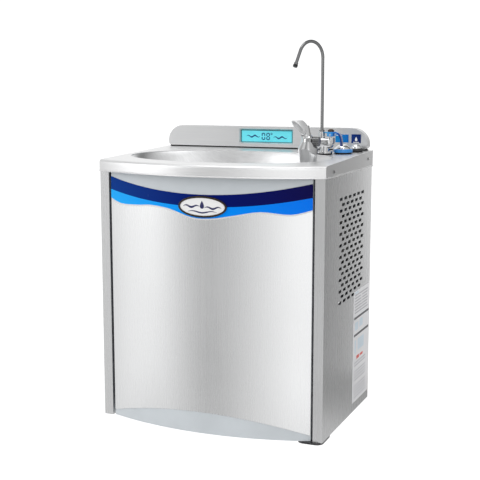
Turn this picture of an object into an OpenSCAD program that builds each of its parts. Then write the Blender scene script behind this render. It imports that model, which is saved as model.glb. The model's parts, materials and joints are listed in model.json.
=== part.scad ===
// Wall-mounted drinking fountain: a chilled cabinet with a bowl, a bubbler and a gooseneck filler.
// Millimetres, X to the right, Y towards the wall, Z up.
// The origin is the centre of the four wall holes, on the back face.

/* [Cabinet] */
// Width across the two side panels
cabinet_w = 457; // [435:1:520]
// Depth of the side panels, from the wall to the front posts
cabinet_d = 310; // [300:1:360]
// Height of the side panels at the posts
cabinet_h = 500; // [490:1:600]
// Thickness of the sheet steel panels
sheet_t = 1.5; // [1:0.1:2]
// Width of the post folded beside the door
post_w = 18.5; // [16:0.5:24]
// Depth of the return folded behind the post's inner edge
post_return = 12; // [9:0.5:14]
// Height of the bottom pan's upturned edges
pan_edge_h = 20; // [12:1:30]
// Distance of the bottom pan's front edge behind the posts
pan_set_back = 28; // [24:1:40]

/* [Vent slots] */
// Length of a slot
slot_len = 20; // [14:1:24]
// Height of a slot
slot_h = 6; // [4:0.5:8]
// Distance between neighbouring slots in a row
slot_pitch_y = 28.8; // [26:0.2:32]
// Distance between rows
slot_pitch_z = 11; // [9:0.5:13]
// Number of rows
slot_rows = 19; // [8:1:19]
// Number of slots in a long row
slot_cols = 6; // [3:1:6]
// Distance from the wall to the rearmost slot's centre
slot_from_wall = 66; // [50:1:80]
// Distance from the posts' top down to the highest row
slot_from_top = 58; // [45:1:80]

/* [Wall fixing] */
// Distance between the wall holes across the cabinet
bolts_w = 320; // [200:1:380]
// Distance between the wall holes up the cabinet
bolts_h = 260; // [150:1:320]
// Radius of a wall hole
bolt_hole_r = 4.5; // [3:0.1:6]
// Height of the wall holes' centre above the cabinet's underside
bolts_z = 330; // [250:1:345]
// Thickness of the back panel
back_t = 2; // [1.5:0.1:3]

/* [Top] */
// How far the lip hangs down over the side panels
lip_lap = 12; // [8:1:20]
// Height of the lip at the front
lip_h = 23; // [20:1:40]
// How much the deck rises towards the wall
deck_rise = 10; // [4:1:16]
// How far the lip bows forward of the posts
lip_bow = 55; // [45:1:70]
// Thickness of the top's sheet
top_t = 1.5; // [1:0.1:2]
// Radius of the rounded front edge
lip_round = 7; // [5:0.5:9]
// Radius of the rolled hem under the lip
hem_r = 1.4; // [1:0.1:2]
// Radius of a lip screw's head
screw_r = 3; // [2:0.1:4]

/* [Bowl] */
// Deck left beside the bowl on the left
bowl_left = 16; // [12:1:30]
// Deck left beside the bowl on the right
bowl_right = 30; // [24:1:40]
// Deck left in front of the bowl, inside the posts' line
bowl_front = 8; // [7.5:0.5:20]
// Deck left between the bowl and the wall
bowl_wall = 80; // [76:1:95]
// Depth of the bowl at the drain
bowl_depth = 62; // [55:1:70]
// Thickness of the bowl's sheet
bowl_t = 1.5; // [1:0.1:2]
// Width of the flange that lies under the deck
bowl_flange = 4.5; // [3.5:0.5:5]
// Radius of the drain hole
drain_r = 20; // [16:0.5:22]
// Outer radius of the waste pipe
waste_r = 15.9; // [12.7:0.1:15.9]

/* [Backsplash] */
// Width of the backsplash
splash_w = 448; // [400:1:450]
// Height of the backsplash
splash_h = 43; // [40:1:60]
// Depth of the backsplash
splash_d = 20; // [16:1:22]
// Radius of its upper corners
splash_round = 34; // [20:1:38]
// Width of the display window
display_w = 121; // [100:1:130]
// Height of the display window
display_h = 31; // [26:1:34]
// How far right of the middle the display is
display_shift = 3.3; // [-10:0.1:10]
// Thickness of the dark strip under the backsplash
strip_t = 2; // [1:0.1:3]

/* [Door] */
// Gap between the door's edge and each post
door_gap = 4.5; // [4:0.1:6]
// How far the door bows forward
door_bow = 37; // [30:1:42]
// How far the door's edges stand behind the posts' face
door_set_back = 2; // [1:0.1:4]
// Depth of the door's folded edges
door_edge_d = 14; // [12:0.5:16]
// Thickness of the door's shell
shell_t = 1.2; // [1:0.1:1.6]
// Thickness of the brushed skin
skin_t = 0.8; // [0.6:0.1:1.2]
// Gap between the door's top and the lip
door_top_gap = 1.5; // [1:0.1:3]
// Gap under the door
door_foot_gap = 0.5; // [0.4:0.1:2]
// Distance of the hinge axis inside the door's edge
hinge_in = 13; // [12:0.5:14]
// Distance of the hinge axis behind the door's edge
hinge_back = 7; // [6.5:0.1:8]
// Radius of the hinge pins
hinge_pin_r = 3; // [2:0.1:3.5]

/* [Bubbler] */
// Distance of the bubbler from the top's right edge
bubbler_in = 78; // [72:1:90]
// Distance of the bubbler from the wall
bubbler_out = 180; // [170:1:195]
// Depth of the bubbler's pad below the deck
pad_depth = 31; // [28:1:34]
// Radius of the bubbler's pad
pad_r = 17.5; // [16:0.5:19]
// Radius of the bubbler's foot
foot_r = 14.5; // [12:0.5:15.5]
// Height of the bubbler's shoulder above its pad
shoulder_h = 50; // [44:1:56]
// Radius of the bubbler's shoulder
shoulder_r = 19.5; // [18:0.5:21]
// Radius of the push button on the bubbler
bubbler_button_r = 9; // [7:0.5:10]
// Travel of the bubbler's button
bubbler_travel = 4; // [2:0.5:5]
// Half length of the mouth guard's oval
guard_a = 19; // [16:0.5:21]
// Half width of the mouth guard's oval
guard_b = 12; // [10:0.5:14]

/* [Faucet] */
// Distance of the faucet from the top's right edge
faucet_in = 69; // [66:1:80]
// Distance of the faucet from the wall
faucet_out = 105; // [100:1:110]
// Radius of the faucet's flange
faucet_flange_r = 15; // [13:0.5:15]
// Outer radius of the gooseneck tube
neck_r = 3.2; // [2.5:0.1:4]
// Height of the gooseneck's straight part above the faucet's flange
neck_h = 185; // [120:1:240]
// Radius of the gooseneck's bend
neck_bend = 31; // [20:1:45]
// Angle that the gooseneck bends through
neck_turn = 156; // [140:1:180]
// Length of the gooseneck's end after the bend
neck_tail = 34; // [20:1:60]
// Direction of the gooseneck in plan, from the right
neck_aim = 241.7; // [200:0.1:280]
// Length of the lever's tail below its pivot
lever_drop = 22; // [16:1:26]
// Width of the lever
lever_w = 8; // [6:0.5:10]

/* [Deck buttons] */
// Distance of the large button from the top's right edge
button_in = 39.5; // [36:0.5:42]
// Distance of the large button from the wall
button_out = 80; // [77:1:82]
// Radius of the large button's ring
button_r = 19.5; // [17:0.5:20]
// Travel of the large button
button_travel = 3; // [2:0.5:4]
// Distance of the small button from the top's right edge
knob_in = 23; // [20:0.5:26]
// Distance of the small button from the wall
knob_out = 42; // [38:0.5:44]
// Radius of the small button's ring
knob_r = 13.5; // [11:0.5:14]
// Travel of the small button
knob_travel = 2.5; // [1.5:0.5:3]

/* [Cooling] */
// Radius of the compressor's shell
compressor_r = 62; // [50:1:68]
// Height of the compressor's shell
compressor_h = 145; // [110:1:160]
// Radius of the fan
fan_r = 72; // [55:1:78]
// Number of fan blades
fan_blades = 5; // [3:1:7]
// Width of the cold tank
tank_w = 165; // [140:1:175]
// Depth of the cold tank
tank_d = 172; // [140:1:180]
// Height of the cold tank
tank_h = 178; // [140:1:185]
// Height of the tank's shelf above the cabinet's underside
shelf_z = 220; // [200:1:224]
// Radius of the filter cartridge
filter_r = 38; // [30:1:40]
// Length of the filter cartridge
filter_len = 225; // [180:1:240]
// Outer radius of the water tubes
tube_r = 4; // [3:0.1:4.5]
// Outer radius of the water inlet's pipe
inlet_r = 4.76; // [3.2:0.02:6.4]

/* [Hidden] */
$fn = 48;
// Clearance between neighbouring pieces that don't touch
gap = 0.3;
// Radial clearance of a running fit
fit = 0.05;
// Overrun of a cut past the face it opens
cut = 5;
// Most that a cutting block reaches
reach = 2 * (cabinet_w + cabinet_d + cabinet_h);

side_x = cabinet_w / 2;
side_in_x = side_x - sheet_t;
top_w = cabinet_w + 2 * top_t;
top_x = top_w / 2;
post_x = side_x - post_w;
lip_z = cabinet_h - lip_lap;
deck_z0 = lip_z + lip_h;
lip_r = (pow(top_x, 2) + pow(lip_bow, 2)) / (2 * lip_bow);
lip_cy = lip_r - cabinet_d - lip_bow;

// The deck is level from the bowed front back to here, and rises from here to the wall
deck_level = sqrt(pow(lip_r - lip_round, 2) - pow(top_x, 2)) - lip_cy - top_t;
function deck_z(y) = deck_z0 + deck_rise * max(0, y + deck_level) / deck_level;
function under_deck(y) = deck_z(y) - top_t;

bowl_a = (top_w - bowl_left - bowl_right) / 2;
bowl_b = (cabinet_d - bowl_front - bowl_wall) / 2;
bowl_x = (bowl_left - bowl_right) / 2;
bowl_y = -bowl_wall - bowl_b;
bowl_floor = under_deck(bowl_y) - bowl_depth;
bowl_steps = 56;
// How full the bowl's oval is: 1 is an ellipse, less is squarer
oval_share = 0.92;
// Each ring of the bowl: its size, its depth and how level it lies, as shares
bowl_shares = [
    [1, 0, 0], [0.985, 0.05, 0.1], [0.96, 0.17, 0.3], [0.93, 0.33, 0.6], [0.89, 0.47, 0.85],
    [0.84, 0.56, 1], [0.7, 0.67, 1], [0.5, 0.81, 1], [0.3, 0.92, 1],
];
drain_seat_w = 4;
drain_seat_r = drain_r + drain_seat_w;
drain_seat_step = 1.5;
tail_flange_w = 8;
tail_flange_r = drain_r + tail_flange_w;
strainer_hole_r = 2;
strainer_t = 2;
slip_nut_h = 22;
slip_nut_wall = 6;
waste_wall = 1.5;
tail_len = 45;
waste_joint_z = bowl_floor - tail_len;
waste_bend = 26;
waste_fall = 40;
waste_level = waste_joint_z - waste_fall;
waste_from_wall = 60;
waste_below = 40;
spigot_len = 30;
locknut_out = 5;

bubbler_x = top_x - bubbler_in;
bubbler_y = -bubbler_out;
pad_z = under_deck(bowl_y) - pad_depth;
pad_t = 15;
gasket_t = 1;
shank_r = 5;
shank_clear = 0.4;
shank_h = 34;
nut_r = 8.5;
nut_h = 7;
foot_h = 5;
waist_r = foot_r - 1;
valve_r = 12;
valve_z = 64;
valve_front = 6;
throat_r = 9;
guard_x = -17;
guard_y = -8;
guard_z = 89;
guard_deep = 15;
guard_wall = 2;
guard_turn = 41;
guard_tip = 139;
guard_back_share = 0.5;
jet_r = 3;
button_cap_h = 12;
button_stem_r = 4;
button_stem_h = 8;

faucet_x = top_x - faucet_in;
faucet_y = -faucet_out;
faucet_gasket_t = 2;
faucet_z = deck_z(faucet_y + faucet_flange_r) + faucet_gasket_t;
flange_h = 4;
column_r = 9;
valve_level = 20;
faucet_ball_r = 11;
ball_left = -7;
ball_right = 8;
socket_x = -6.5;
socket_r = 6;
socket_h = 42;
collar_r = 4.4;
collar_h = 9;
bonnet_x = 12;
bonnet_r = 8;
bonnet_h = 30.5;
pin_h = 36;
pin_r = 1.5;
lug_r = 2.4;
lug_up = 2.2;
hub_half = 6;
hub_in = 3.8;
hub_out = 7;
web_up = 3.5;
web_t = 2.5;
lever_t = 3.5;
lever_back = 10.5;
cap_r = 6.5;
cap_h = 6;
// The lever's path from its hub down to its tip, as shares of its drop
lever_shares = [[0.27, 0.19], [0.5, 0.2], [0.75, 0.08], [0.92, -0.2], [1, -0.55], [1, -1]];

button_x = top_x - button_in;
button_y = -button_out;
button_gasket_t = 2;
button_z = deck_z(button_y + button_r) + button_gasket_t;
gasket_inset = 2.7;
ring_h = 6.5;
ring_round = 2;
barrel_r = 10;
barrel_h = 34;
barrel_clear = 0.4;
button_rim = 2.5;
dome_h = 10;
plunger_r = 5;
plunger_h = 26;
knob_x = top_x - knob_in;
knob_y = -knob_out;
knob_z = deck_z(knob_y + knob_r) + button_gasket_t;
knob_ring_h = 5;
knob_barrel_r = 8;
knob_barrel_h = 30;
knob_dome_h = 9;
knob_plunger_r = 3.5;

splash_z = deck_z(0) + strip_t;
strip_inset = 3;
splash_wall = 2;
splash_low_round = 8;
display_up = 1;
display_z = splash_z + splash_h / 2 + display_up;
bevel = 3;
bevel_d = 4;
lens_t = 2;
board_t = 1.6;
label_t = 0.4;
label_a_w = 28;
label_a_h = 16;
label_b_w = 20;
label_b_h = 18;
label_a_in = 60;
label_b_in = 30;
sticker_w = 112;
sticker_h = 229;
sticker_from_wall = 4;
sticker_z = 18;

door_half = post_x - door_gap;
door_front = cabinet_d - door_set_back;
door_r = (pow(door_half, 2) + pow(door_bow, 2)) / (2 * door_bow);
door_cy = door_r - door_front - door_bow;
door_back = door_front - door_edge_d;
door_z1 = lip_z - door_top_gap;
skin_r = door_r + skin_t;
decal_t = 0.3;
hinge_x = door_half - hinge_in;
hinge_y = -(door_front - hinge_back);
bush_r = 5;
bush_h = 12;
boss_wall = 2;
hinge_plate_t = 4;
hinge_plate_half = 13;
hinge_plate_up = 2;
top_plate_t = 3;
skin_top_end = 7.5;
skin_top_mid = 31.5;
skin_foot_end = 11;
skin_foot_mid = 42;
stripe_end = 25;
stripe_mid = 22.5;
stripe_drops = [49, 58, 58, 56, 60.5, 74, 74.5, 67.5, 59.5, 63.5, 54.5];
stripe_place_shares = [-1, -0.87, -0.67, -0.51, -0.31, -0.08, 0.11, 0.32, 0.56, 0.82, 1];
badge_a = 48.5;
badge_b = 20;
badge_rim = 3.6;
badge_x = 5;
badge_drop = 53.5;
badge_t = 2.2;
badge_face_t = 1.2;
stiff_h = 26;
stiff_d = 6;
stiff_t = 1.2;
stiff_shares = [0.32, 0.7];
catch_w = 38;
catch_h = 30;
catch_d = 14;
catch_gap = 0.5;
strike_t = 1.6;
strike_w = 16;
seal_t = 1.2;
seal_front = 2;
seal_d = 8;
pan_y0 = pan_set_back - cabinet_d;
door_steps = 24;
catch_mid = door_z1 / 2;
// Facets of a circle as wide as the cabinet, so that its flats stay small
bow_fn = 360;
// Size of the fitting at a tube's bend
elbow_share = 1.5;
// How much fuller the gooseneck's bend is than its straight parts
bend_swell = 0.08;
lip_spare = 4;
hem_stop = 4;
hem_out = 0.3;
strainer_lap = 3;
strainer_pitch = 7;
cup_h = 14;
tail_flange_t = 3;
screw_up = 8.6;
screw_head_t = 1.4;
screw_slot_w = 0.9;
screw_slot_d = 0.8;
screw_rear = 35;
screw_front = 46.5;
nut_wall = 6;
badge_steps = 60;
guard_rim_t = 1;
guard_steps = 36;
jet_h = 7;
throat_x = -8;
throat_y = 1;
throat_z = 92;
grips = 16;
grip_r = 0.8;
ferrule_wall = 1;
ferrule_h = 3;
nozzle_h = 9;
nozzle_wall = 0.9;
cheek_drop = 3;
ring_floor = 1.5;
foot_bolt_r = 3;
pointer_w = 2;
rear_flange_w = 15;
foot_pad_r = 9;
foot_pad_h = 14;
foot_inset = 14;
base_t = 3;
base_margin = 6;
shell_round = 16;
shell_dome = 34;
compressor_from_side = 78;
compressor_from_wall = 105;
terminal_w = 34;
terminal_d = 16;
terminal_h = 30;
condenser_from_side = 28;
condenser_w = 46;
condenser_from_wall = 52;
condenser_d = 200;
condenser_h = 200;
fin_t = 0.8;
fin_count = 14;
coil_r = 4;
coil_rows = 5;
coil_bend_out = 2;
fan_hub_r = 17;
fan_hub_h = 22;
blade_tip_gap = 4;
blade_t = 1.6;
blade_w = 34;
blade_lean = 32;
shaft_r = 3;
shaft_h = 26;
fan_from_side = 99;
fan_y = -150;
fan_z = 122;
bracket_t = 1.5;
bracket_margin = 8;
motor_r = 27;
motor_h = 42;
spoke_w = 8;
tank_round = 22;
tank_from_side = 12;
tank_from_wall = 88;
nipple_r = 6;
nipple_h = 12;
nipple_in = 40;
shelf_flange = 20;
filter_x = 60;
filter_y = -62;
filter_head_z = 395;
filter_head_r = 24;
filter_head_h = 30;
filter_neck_r = 18;
filter_neck_h = 12;
lug_w = 30;
port_r = 6;
port_out = 28;
valve_from_wall = 40;
inlet_x = 60;
inlet_below = 28;
inlet_spigot = 20;
inlet_body_r = 11;
inlet_body_h = 44;
inlet_foot_r = 16;
inlet_foot_h = 3;
inlet_stem_z = 26;
inlet_stem_r = 4;
inlet_stem_out = 12;
handle_hub_r = 8;
handle_t = 4;
handle_len = 34;
handle_w = 9;
solenoid_from_side = 119;
solenoid_z = 432;
solenoid_w = 30;
solenoid_d = 36;
solenoid_h = 28;
coil_can_r = 12;
coil_can_h = 20;
control_from_side = 55;
control_w = 78;
control_d = 50;
control_z = 282;
control_h = 100;
knob_shaft_r = 3;
dial_r = 13;
dial_h = 10;
dial_gap = 0.6;
dial_depth = 12;
socket_w = 27;
socket_d = 20;
socket_wall = 2;
socket_up = 18;
socket_rim = 4;
socket_rim_t = 2;
power_from_side = 37;
power_y = -30;
blade_pin_w = 2;
blade_pin_d = 4;
blade_pin_h = 10;
blade_pin_pitch = 7;
thread_gap = 0.1;
compressor_x = compressor_from_side - side_in_x;
compressor_y = -compressor_from_wall;
base_half = compressor_r + base_margin;
condenser_x1 = side_in_x - condenser_from_side;
fan_x = side_in_x - fan_from_side;
solenoid_x = side_in_x - solenoid_from_side;
control_x = side_in_x - control_from_side;
power_x = side_in_x - power_from_side;
condenser_x0 = condenser_x1 - condenser_w;
condenser_y1 = -condenser_from_wall;
condenser_y0 = condenser_y1 - condenser_d;
tank_x0 = tank_from_side - side_in_x;
tank_y1 = -tank_from_wall;
tank_z0 = shelf_z + sheet_t;
tank_top = tank_z0 + tank_h;
inlet_y = -valve_from_wall;
inlet_top = sheet_t + inlet_body_h;
control_z1 = control_z + control_h;
dial_z = control_z + control_h / 2;

// A block between its lowest and its highest corner
module span(low, high) { translate(low) cube(high - low); }

// Everything is drawn from the cabinet's underside and set against the wall holes' centre
module mounted() { translate([0, 0, -bolts_z]) children(); }

// An outline in Y and Z, drawn out along X from x0 to x1
module along_x(x0, x1) { rotate([90, 0, 90]) translate([0, 0, x0]) linear_extrude(x1 - x0) children(); }

// An outline in X and Z, drawn out along Y from y0 to y1
module along_y(y0, y1) { translate([0, y1, 0]) rotate([90, 0, 0]) linear_extrude(y1 - y0) children(); }

// A cylinder from one point to another
module rod(a, b, r) {
    d = b - a;
    translate(a)
        rotate([0, acos(d[2] / norm(d)), atan2(d[1], d[0])])
            cylinder(r = r, h = norm(d));
}

// A round run through points, with a fitting at each bend; tee is 1 where it starts at another's
module run(points, r, tee) {
    last = len(points) - 1;
    for (i = [0:last - 1]) {
        along = (points[i + 1] - points[i]) / norm(points[i + 1] - points[i]);
        from = i > 0 ? r : tee * r;
        to = i + 1 < last ? r : 0;
        rod(points[i] + from * along, points[i + 1] - to * along, r);
    }
    for (i = [1:last - 1])
        translate(points[i]) cylinder(r = elbow_share * r, h = 2 * elbow_share * r, center = true);
}

function arc_points(c, r, a0, a1, steps) =
    [for (i = [0:steps]) let (a = a0 + (a1 - a0) * i / steps) c + r * [cos(a), sin(a)]];

function signed_power(v, p) = sign(v) * pow(abs(v), p);

// Points of the bowl's squarish oval
function oval_points(a, b, steps, share) =
    [for (i = [0:steps - 1]) let (t = 360 * i / steps)
        [a * signed_power(cos(t), share), b * signed_power(sin(t), share)]];

// A smooth curve through a list of points
function smooth_point(p, i, t) =
    let (n = len(p) - 1, a = p[max(i - 1, 0)], b = p[i], c = p[min(i + 1, n)], d = p[min(i + 2, n)])
    b + 0.5 * t * (c - a) + t * t * (a - 2.5 * b + 2 * c - 0.5 * d)
      + t * t * t * (1.5 * b - 0.5 * a - 1.5 * c + 0.5 * d);
function smooth(p, steps) =
    concat([for (i = [0:len(p) - 2]) for (k = [0:steps - 1]) smooth_point(p, i, k / steps)],
           [p[len(p) - 1]]);

// The side of the deck's upper face that lies above it
module over_deck() {
    along_x(-top_x, top_x)
        polygon([[-deck_level, deck_z0], [0, deck_z(0)], [0, reach], [-deck_level, reach]]);
}

module slots() {
    slot_z = cabinet_h - slot_from_top;
    for (row = [0:slot_rows - 1]) {
        short_row = row % 2;
        for (col = [0:slot_cols - 1 - short_row])
            translate([-slot_from_wall - slot_pitch_y * (col + short_row / 2), slot_z - row * slot_pitch_z]) {
                straight = slot_len - slot_h;
                square([straight, slot_h], center = true);
                for (s = [-1, 1]) translate([s * straight / 2, 0]) circle(r = slot_h / 2);
            }
    }
}

// The right panel: the left one is its mirror image
module side_panel() {
    along_x(side_in_x, side_x)
        difference() {
            polygon([[-cabinet_d, 0], [0, 0], [0, cabinet_h + deck_rise], [-cabinet_d, cabinet_h]]);
            slots();
        }
    span([post_x, -cabinet_d, 0], [side_x, sheet_t - cabinet_d, cabinet_h]);
    span([post_x, -cabinet_d, 0], [post_x + sheet_t, post_return - cabinet_d, cabinet_h]);
    span([side_x - rear_flange_w, -back_t - sheet_t, pan_edge_h + gap], [side_x, -back_t, cabinet_h]);
}

module right_side_panel() { color([0.72, 0.73, 0.75]) mounted() side_panel(); }

module left_side_panel() { color([0.72, 0.73, 0.75]) mounted() mirror([1, 0, 0]) side_panel(); }

module back_panel() {
    color([0.6, 0.62, 0.64]) mounted()
        difference() {
            span([-side_in_x, -back_t, 0], [side_in_x, 0, under_deck(-back_t) - gap]);
            for (x = [-1, 1]) for (z = [-1, 1])
                translate([x * bolts_w / 2, cut, bolts_z + z * bolts_h / 2])
                    rotate([90, 0, 0]) cylinder(r = bolt_hole_r, h = back_t + 2 * cut);
        }
}

module bottom_pan() {
    edge_x = side_x - rear_flange_w - gap;
    color([0.6, 0.62, 0.64]) mounted()
        difference() {
            union() {
                span([-side_in_x, pan_y0, 0], [side_in_x, -back_t, sheet_t]);
                span([-side_in_x, pan_y0, 0], [side_in_x, pan_y0 + sheet_t, pan_edge_h]);
                span([-edge_x, -back_t - sheet_t, 0], [edge_x, -back_t, pan_edge_h]);
            }
            translate([bowl_x, -waste_from_wall, -cut]) cylinder(r = waste_r + gap, h = sheet_t + 2 * cut);
            translate([inlet_x, -valve_from_wall, -cut]) cylinder(r = inlet_r + gap, h = sheet_t + 2 * cut);
            span([power_x - socket_w / 2 - gap, power_y - socket_d / 2 - gap, -cut],
                 [power_x + socket_w / 2 + gap, power_y + socket_d / 2 + gap, sheet_t + cut]);
        }
}

// The top as a solid block with its bowed front edge rounded, its faces moved in by inset
module top_block(inset, over) {
    r = lip_r - inset;
    side = top_x - inset;
    front = cabinet_d + lip_bow;
    shoulder = [lip_r - lip_round, deck_z0 - lip_round];
    difference() {
        intersection() {
            linear_extrude(reach)
                intersection() {
                    translate([0, lip_cy]) circle(r = r, $fn = bow_fn);
                    translate([-side, -front]) square([2 * side, front + over]);
                }
            along_x(-side, side)
                polygon([[-front, lip_z + hem_r - over], [over, lip_z + hem_r - over],
                         [over, deck_z(over) - inset], [-deck_level, deck_z0 - inset],
                         [-front, deck_z0 - inset]]);
        }
        translate([0, lip_cy, 0])
            rotate_extrude($fn = bow_fn)
                polygon(concat(arc_points(shoulder, lip_round - inset, 0, 90, 8),
                               [[shoulder[0], reach], [lip_r + cut, reach], [lip_r + cut, shoulder[1]]]));
    }
}

// The rolled hem along the foot of the front and of both sides
module top_hem() {
    swing = 2 * asin(top_x / lip_r) + lip_spare;
    z = lip_z + hem_r;
    intersection() {
        translate([0, lip_cy, 0])
            rotate([0, 0, 270 - swing / 2])
                rotate_extrude(angle = swing, $fn = bow_fn)
                    translate([lip_r - top_t + hem_r + hem_out, z]) circle(r = hem_r);
        span([hem_out - top_x, -reach, 0], [top_x - hem_out, 0, reach]);
    }
    for (side = [0, 1]) mirror([side, 0, 0])
        translate([side_x + hem_r + hem_out, 0, z])
            rotate([90, 0, 0]) cylinder(r = hem_r, h = cabinet_d - hem_stop);
}

module top_deck() {
    color([0.82, 0.83, 0.85]) mounted()
        difference() {
            union() {
                difference() {
                    top_block(0, 0);
                    top_block(top_t, cut);
                }
                top_hem();
            }
            translate([bowl_x, bowl_y, lip_z])
                linear_extrude(reach) polygon(oval_points(bowl_a, bowl_b, bowl_steps, oval_share));
            translate([faucet_x, faucet_y, lip_z]) cylinder(r = shank_r + shank_clear, h = reach);
            translate([button_x, button_y, lip_z]) cylinder(r = barrel_r + barrel_clear, h = reach);
            translate([knob_x, knob_y, lip_z]) cylinder(r = knob_barrel_r + barrel_clear, h = reach);
        }
}

// One ring of the bowl, at a size, a depth and a levelness given as shares
function bowl_ring(ring, out, drop) =
    [for (p = oval_points(bowl_a + out, bowl_b + out, bowl_steps, oval_share))
        let (x = bowl_x + ring[0] * p[0], y = bowl_y + ring[0] * p[1])
        [x, y, under_deck(y) * (1 - ring[2]) + under_deck(bowl_y) * ring[2] - ring[1] * bowl_depth - drop]];
function seat_ring(drop) =
    [for (i = [0:bowl_steps - 1]) let (t = 360 * i / bowl_steps)
        [bowl_x + drain_seat_r * cos(t), bowl_y + drain_seat_r * sin(t), bowl_floor - drop]];

// The bowl's rings run up its inside, round its flange and down its outside
function bowl_rings() =
    let (last = len(bowl_shares) - 1)
    concat([seat_ring(0)],
           [for (k = [0:last]) bowl_ring(bowl_shares[last - k], 0, 0)],
           [bowl_ring(bowl_shares[0], bowl_flange, 0), bowl_ring(bowl_shares[0], bowl_flange, bowl_t)],
           [for (k = [0:last]) bowl_ring(bowl_shares[k], bowl_t, bowl_t)],
           [seat_ring(bowl_t)]);

module bowl_shell() {
    rings = bowl_rings();
    count = len(rings);
    n = bowl_steps;
    polyhedron(
        points = [for (ring = rings) for (p = ring) p],
        faces = [for (k = [0:count - 1]) for (i = [0:n - 1])
            let (k1 = (k + 1) % count, i1 = (i + 1) % n, a = k * n + i, b = k * n + i1, c = k1 * n + i1,
                 d = k1 * n + i)
            for (face = [[a, b, c], [a, c, d]]) face]);
}

module basin_bowl() {
    color([0.78, 0.79, 0.81]) mounted()
        difference() {
            union() {
                bowl_shell();
                translate([bowl_x, bowl_y, bowl_floor - bowl_t])
                    cylinder(r = drain_seat_r + drain_seat_step, h = bowl_t);
                translate([bubbler_x, bubbler_y, pad_z - pad_t]) cylinder(r = pad_r, h = pad_t);
            }
            translate([bowl_x, bowl_y, bowl_floor - cut]) cylinder(r = drain_r, h = 2 * cut);
            translate([bubbler_x, bubbler_y, pad_z - pad_t - cut])
                cylinder(r = shank_r + shank_clear, h = pad_t + 2 * cut);
        }
}

module drain_strainer() {
    color([0.75, 0.76, 0.78]) mounted()
        translate([bowl_x, bowl_y, bowl_floor])
            difference() {
                cylinder(r1 = drain_r + strainer_lap, r2 = drain_r + strainer_lap - strainer_t,
                         h = strainer_t);
                for (ring = [0:2]) for (i = [0:max(0, 6 * ring - 1)])
                    rotate([0, 0, 360 * i / max(1, 6 * ring)])
                        translate([ring * strainer_pitch, 0, -cut])
                            cylinder(r = strainer_hole_r, h = strainer_t + 2 * cut);
            }
}

module drain_tailpiece() {
    top = bowl_floor - bowl_t;
    color([0.62, 0.63, 0.65]) mounted()
        translate([bowl_x, bowl_y, 0])
            rotate_extrude()
                polygon([[waste_r - waste_wall, waste_joint_z], [waste_r, waste_joint_z],
                         [waste_r, top - cup_h], [drain_r, top - tail_flange_t],
                         [tail_flange_r, top - tail_flange_t], [tail_flange_r, top],
                         [drain_r - waste_wall, top], [waste_r - waste_wall, top - cup_h]]);
}

module drain_nut() {
    color([0.8, 0.8, 0.78]) mounted()
        translate([bowl_x, bowl_y, waste_joint_z - slip_nut_h / 2])
            difference() {
                cylinder(r = waste_r + slip_nut_wall, h = slip_nut_h, $fn = 8);
                translate([0, 0, -cut]) cylinder(r = waste_r + thread_gap, h = slip_nut_h + 2 * cut);
            }
}

module waste_quarter(centre, start, r) {
    translate(centre)
        rotate([90, 0, 90]) rotate([0, 0, start])
            rotate_extrude(angle = 90) translate([waste_bend, 0]) circle(r = r);
}

module waste_route(r, over) {
    y2 = -waste_from_wall;
    rod([bowl_x, bowl_y, waste_level + waste_bend], [bowl_x, bowl_y, waste_joint_z + over], r);
    waste_quarter([bowl_x, bowl_y + waste_bend, waste_level + waste_bend], 180, r);
    rod([bowl_x, bowl_y + waste_bend, waste_level], [bowl_x, y2 - waste_bend, waste_level], r);
    waste_quarter([bowl_x, y2 - waste_bend, waste_level - waste_bend], 0, r);
    rod([bowl_x, y2, -waste_below - over], [bowl_x, y2, waste_level - waste_bend], r);
}

// The pipe, with a nut under the pan above the spigot that the trap fits on
module waste_pipe() {
    color([0.85, 0.85, 0.84]) mounted()
        difference() {
            union() {
                waste_route(waste_r, 0);
                translate([bowl_x, -waste_from_wall, spigot_len - waste_below])
                    cylinder(r = waste_r + locknut_out, h = waste_below - spigot_len - gap);
            }
            waste_route(waste_r - waste_wall, cut);
        }
}

module splash_outline(inset) {
    half = splash_w / 2 - inset;
    low = max(splash_low_round - inset, gap);
    high = splash_round - inset;
    steps = 10;
    polygon(concat(
        arc_points([half - low, low + inset], low, -90, 0, steps),
        arc_points([half - high, splash_h - splash_round], high, 0, 90, steps),
        arc_points([high - half, splash_h - splash_round], high, 90, 180, steps),
        arc_points([low - half, low + inset], low, 180, 270, steps)));
}

module display_opening(y0, w, h, thick) {
    span([display_shift - w / 2, y0, display_z - h / 2],
         [display_shift + w / 2, y0 + thick, display_z + h / 2]);
}

module backsplash() {
    color([0.8, 0.81, 0.82]) mounted()
        difference() {
            translate([0, 0, splash_z]) along_y(-splash_d, 0) splash_outline(0);
            translate([0, 0, splash_z]) along_y(bevel_d - splash_d, cut) splash_outline(splash_wall);
            hull() {
                display_opening(-splash_d - gap, display_w, display_h, gap);
                display_opening(bevel_d - splash_d + gap, display_w - 2 * bevel, display_h - 2 * bevel, gap);
            }
        }
}

module display_lens() {
    color([0.35, 0.9, 0.95]) mounted() display_opening(bevel_d - splash_d, display_w, display_h, lens_t);
}

module display_board() {
    inset = 2 * bevel;
    color([0.1, 0.35, 0.2]) mounted()
        display_opening(bevel_d - splash_d + lens_t, display_w - inset, display_h - inset, board_t);
}

module label_plate(from_right, w, h) {
    x = top_x - from_right;
    z = splash_z + splash_h / 2;
    span([x - w / 2, -splash_d - label_t, z - h / 2], [x + w / 2, -splash_d, z + h / 2]);
}

module splash_labels() {
    color([0.05, 0.3, 0.8]) mounted() {
        label_plate(label_a_in, label_a_w, label_a_h);
        label_plate(label_b_in, label_b_w, label_b_h);
    }
}

module side_label() {
    y1 = -sticker_from_wall;
    color([0.94, 0.94, 0.95]) mounted()
        span([side_x, y1 - sticker_w, sticker_z], [side_x + label_t, y1, sticker_z + sticker_h]);
}

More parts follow.
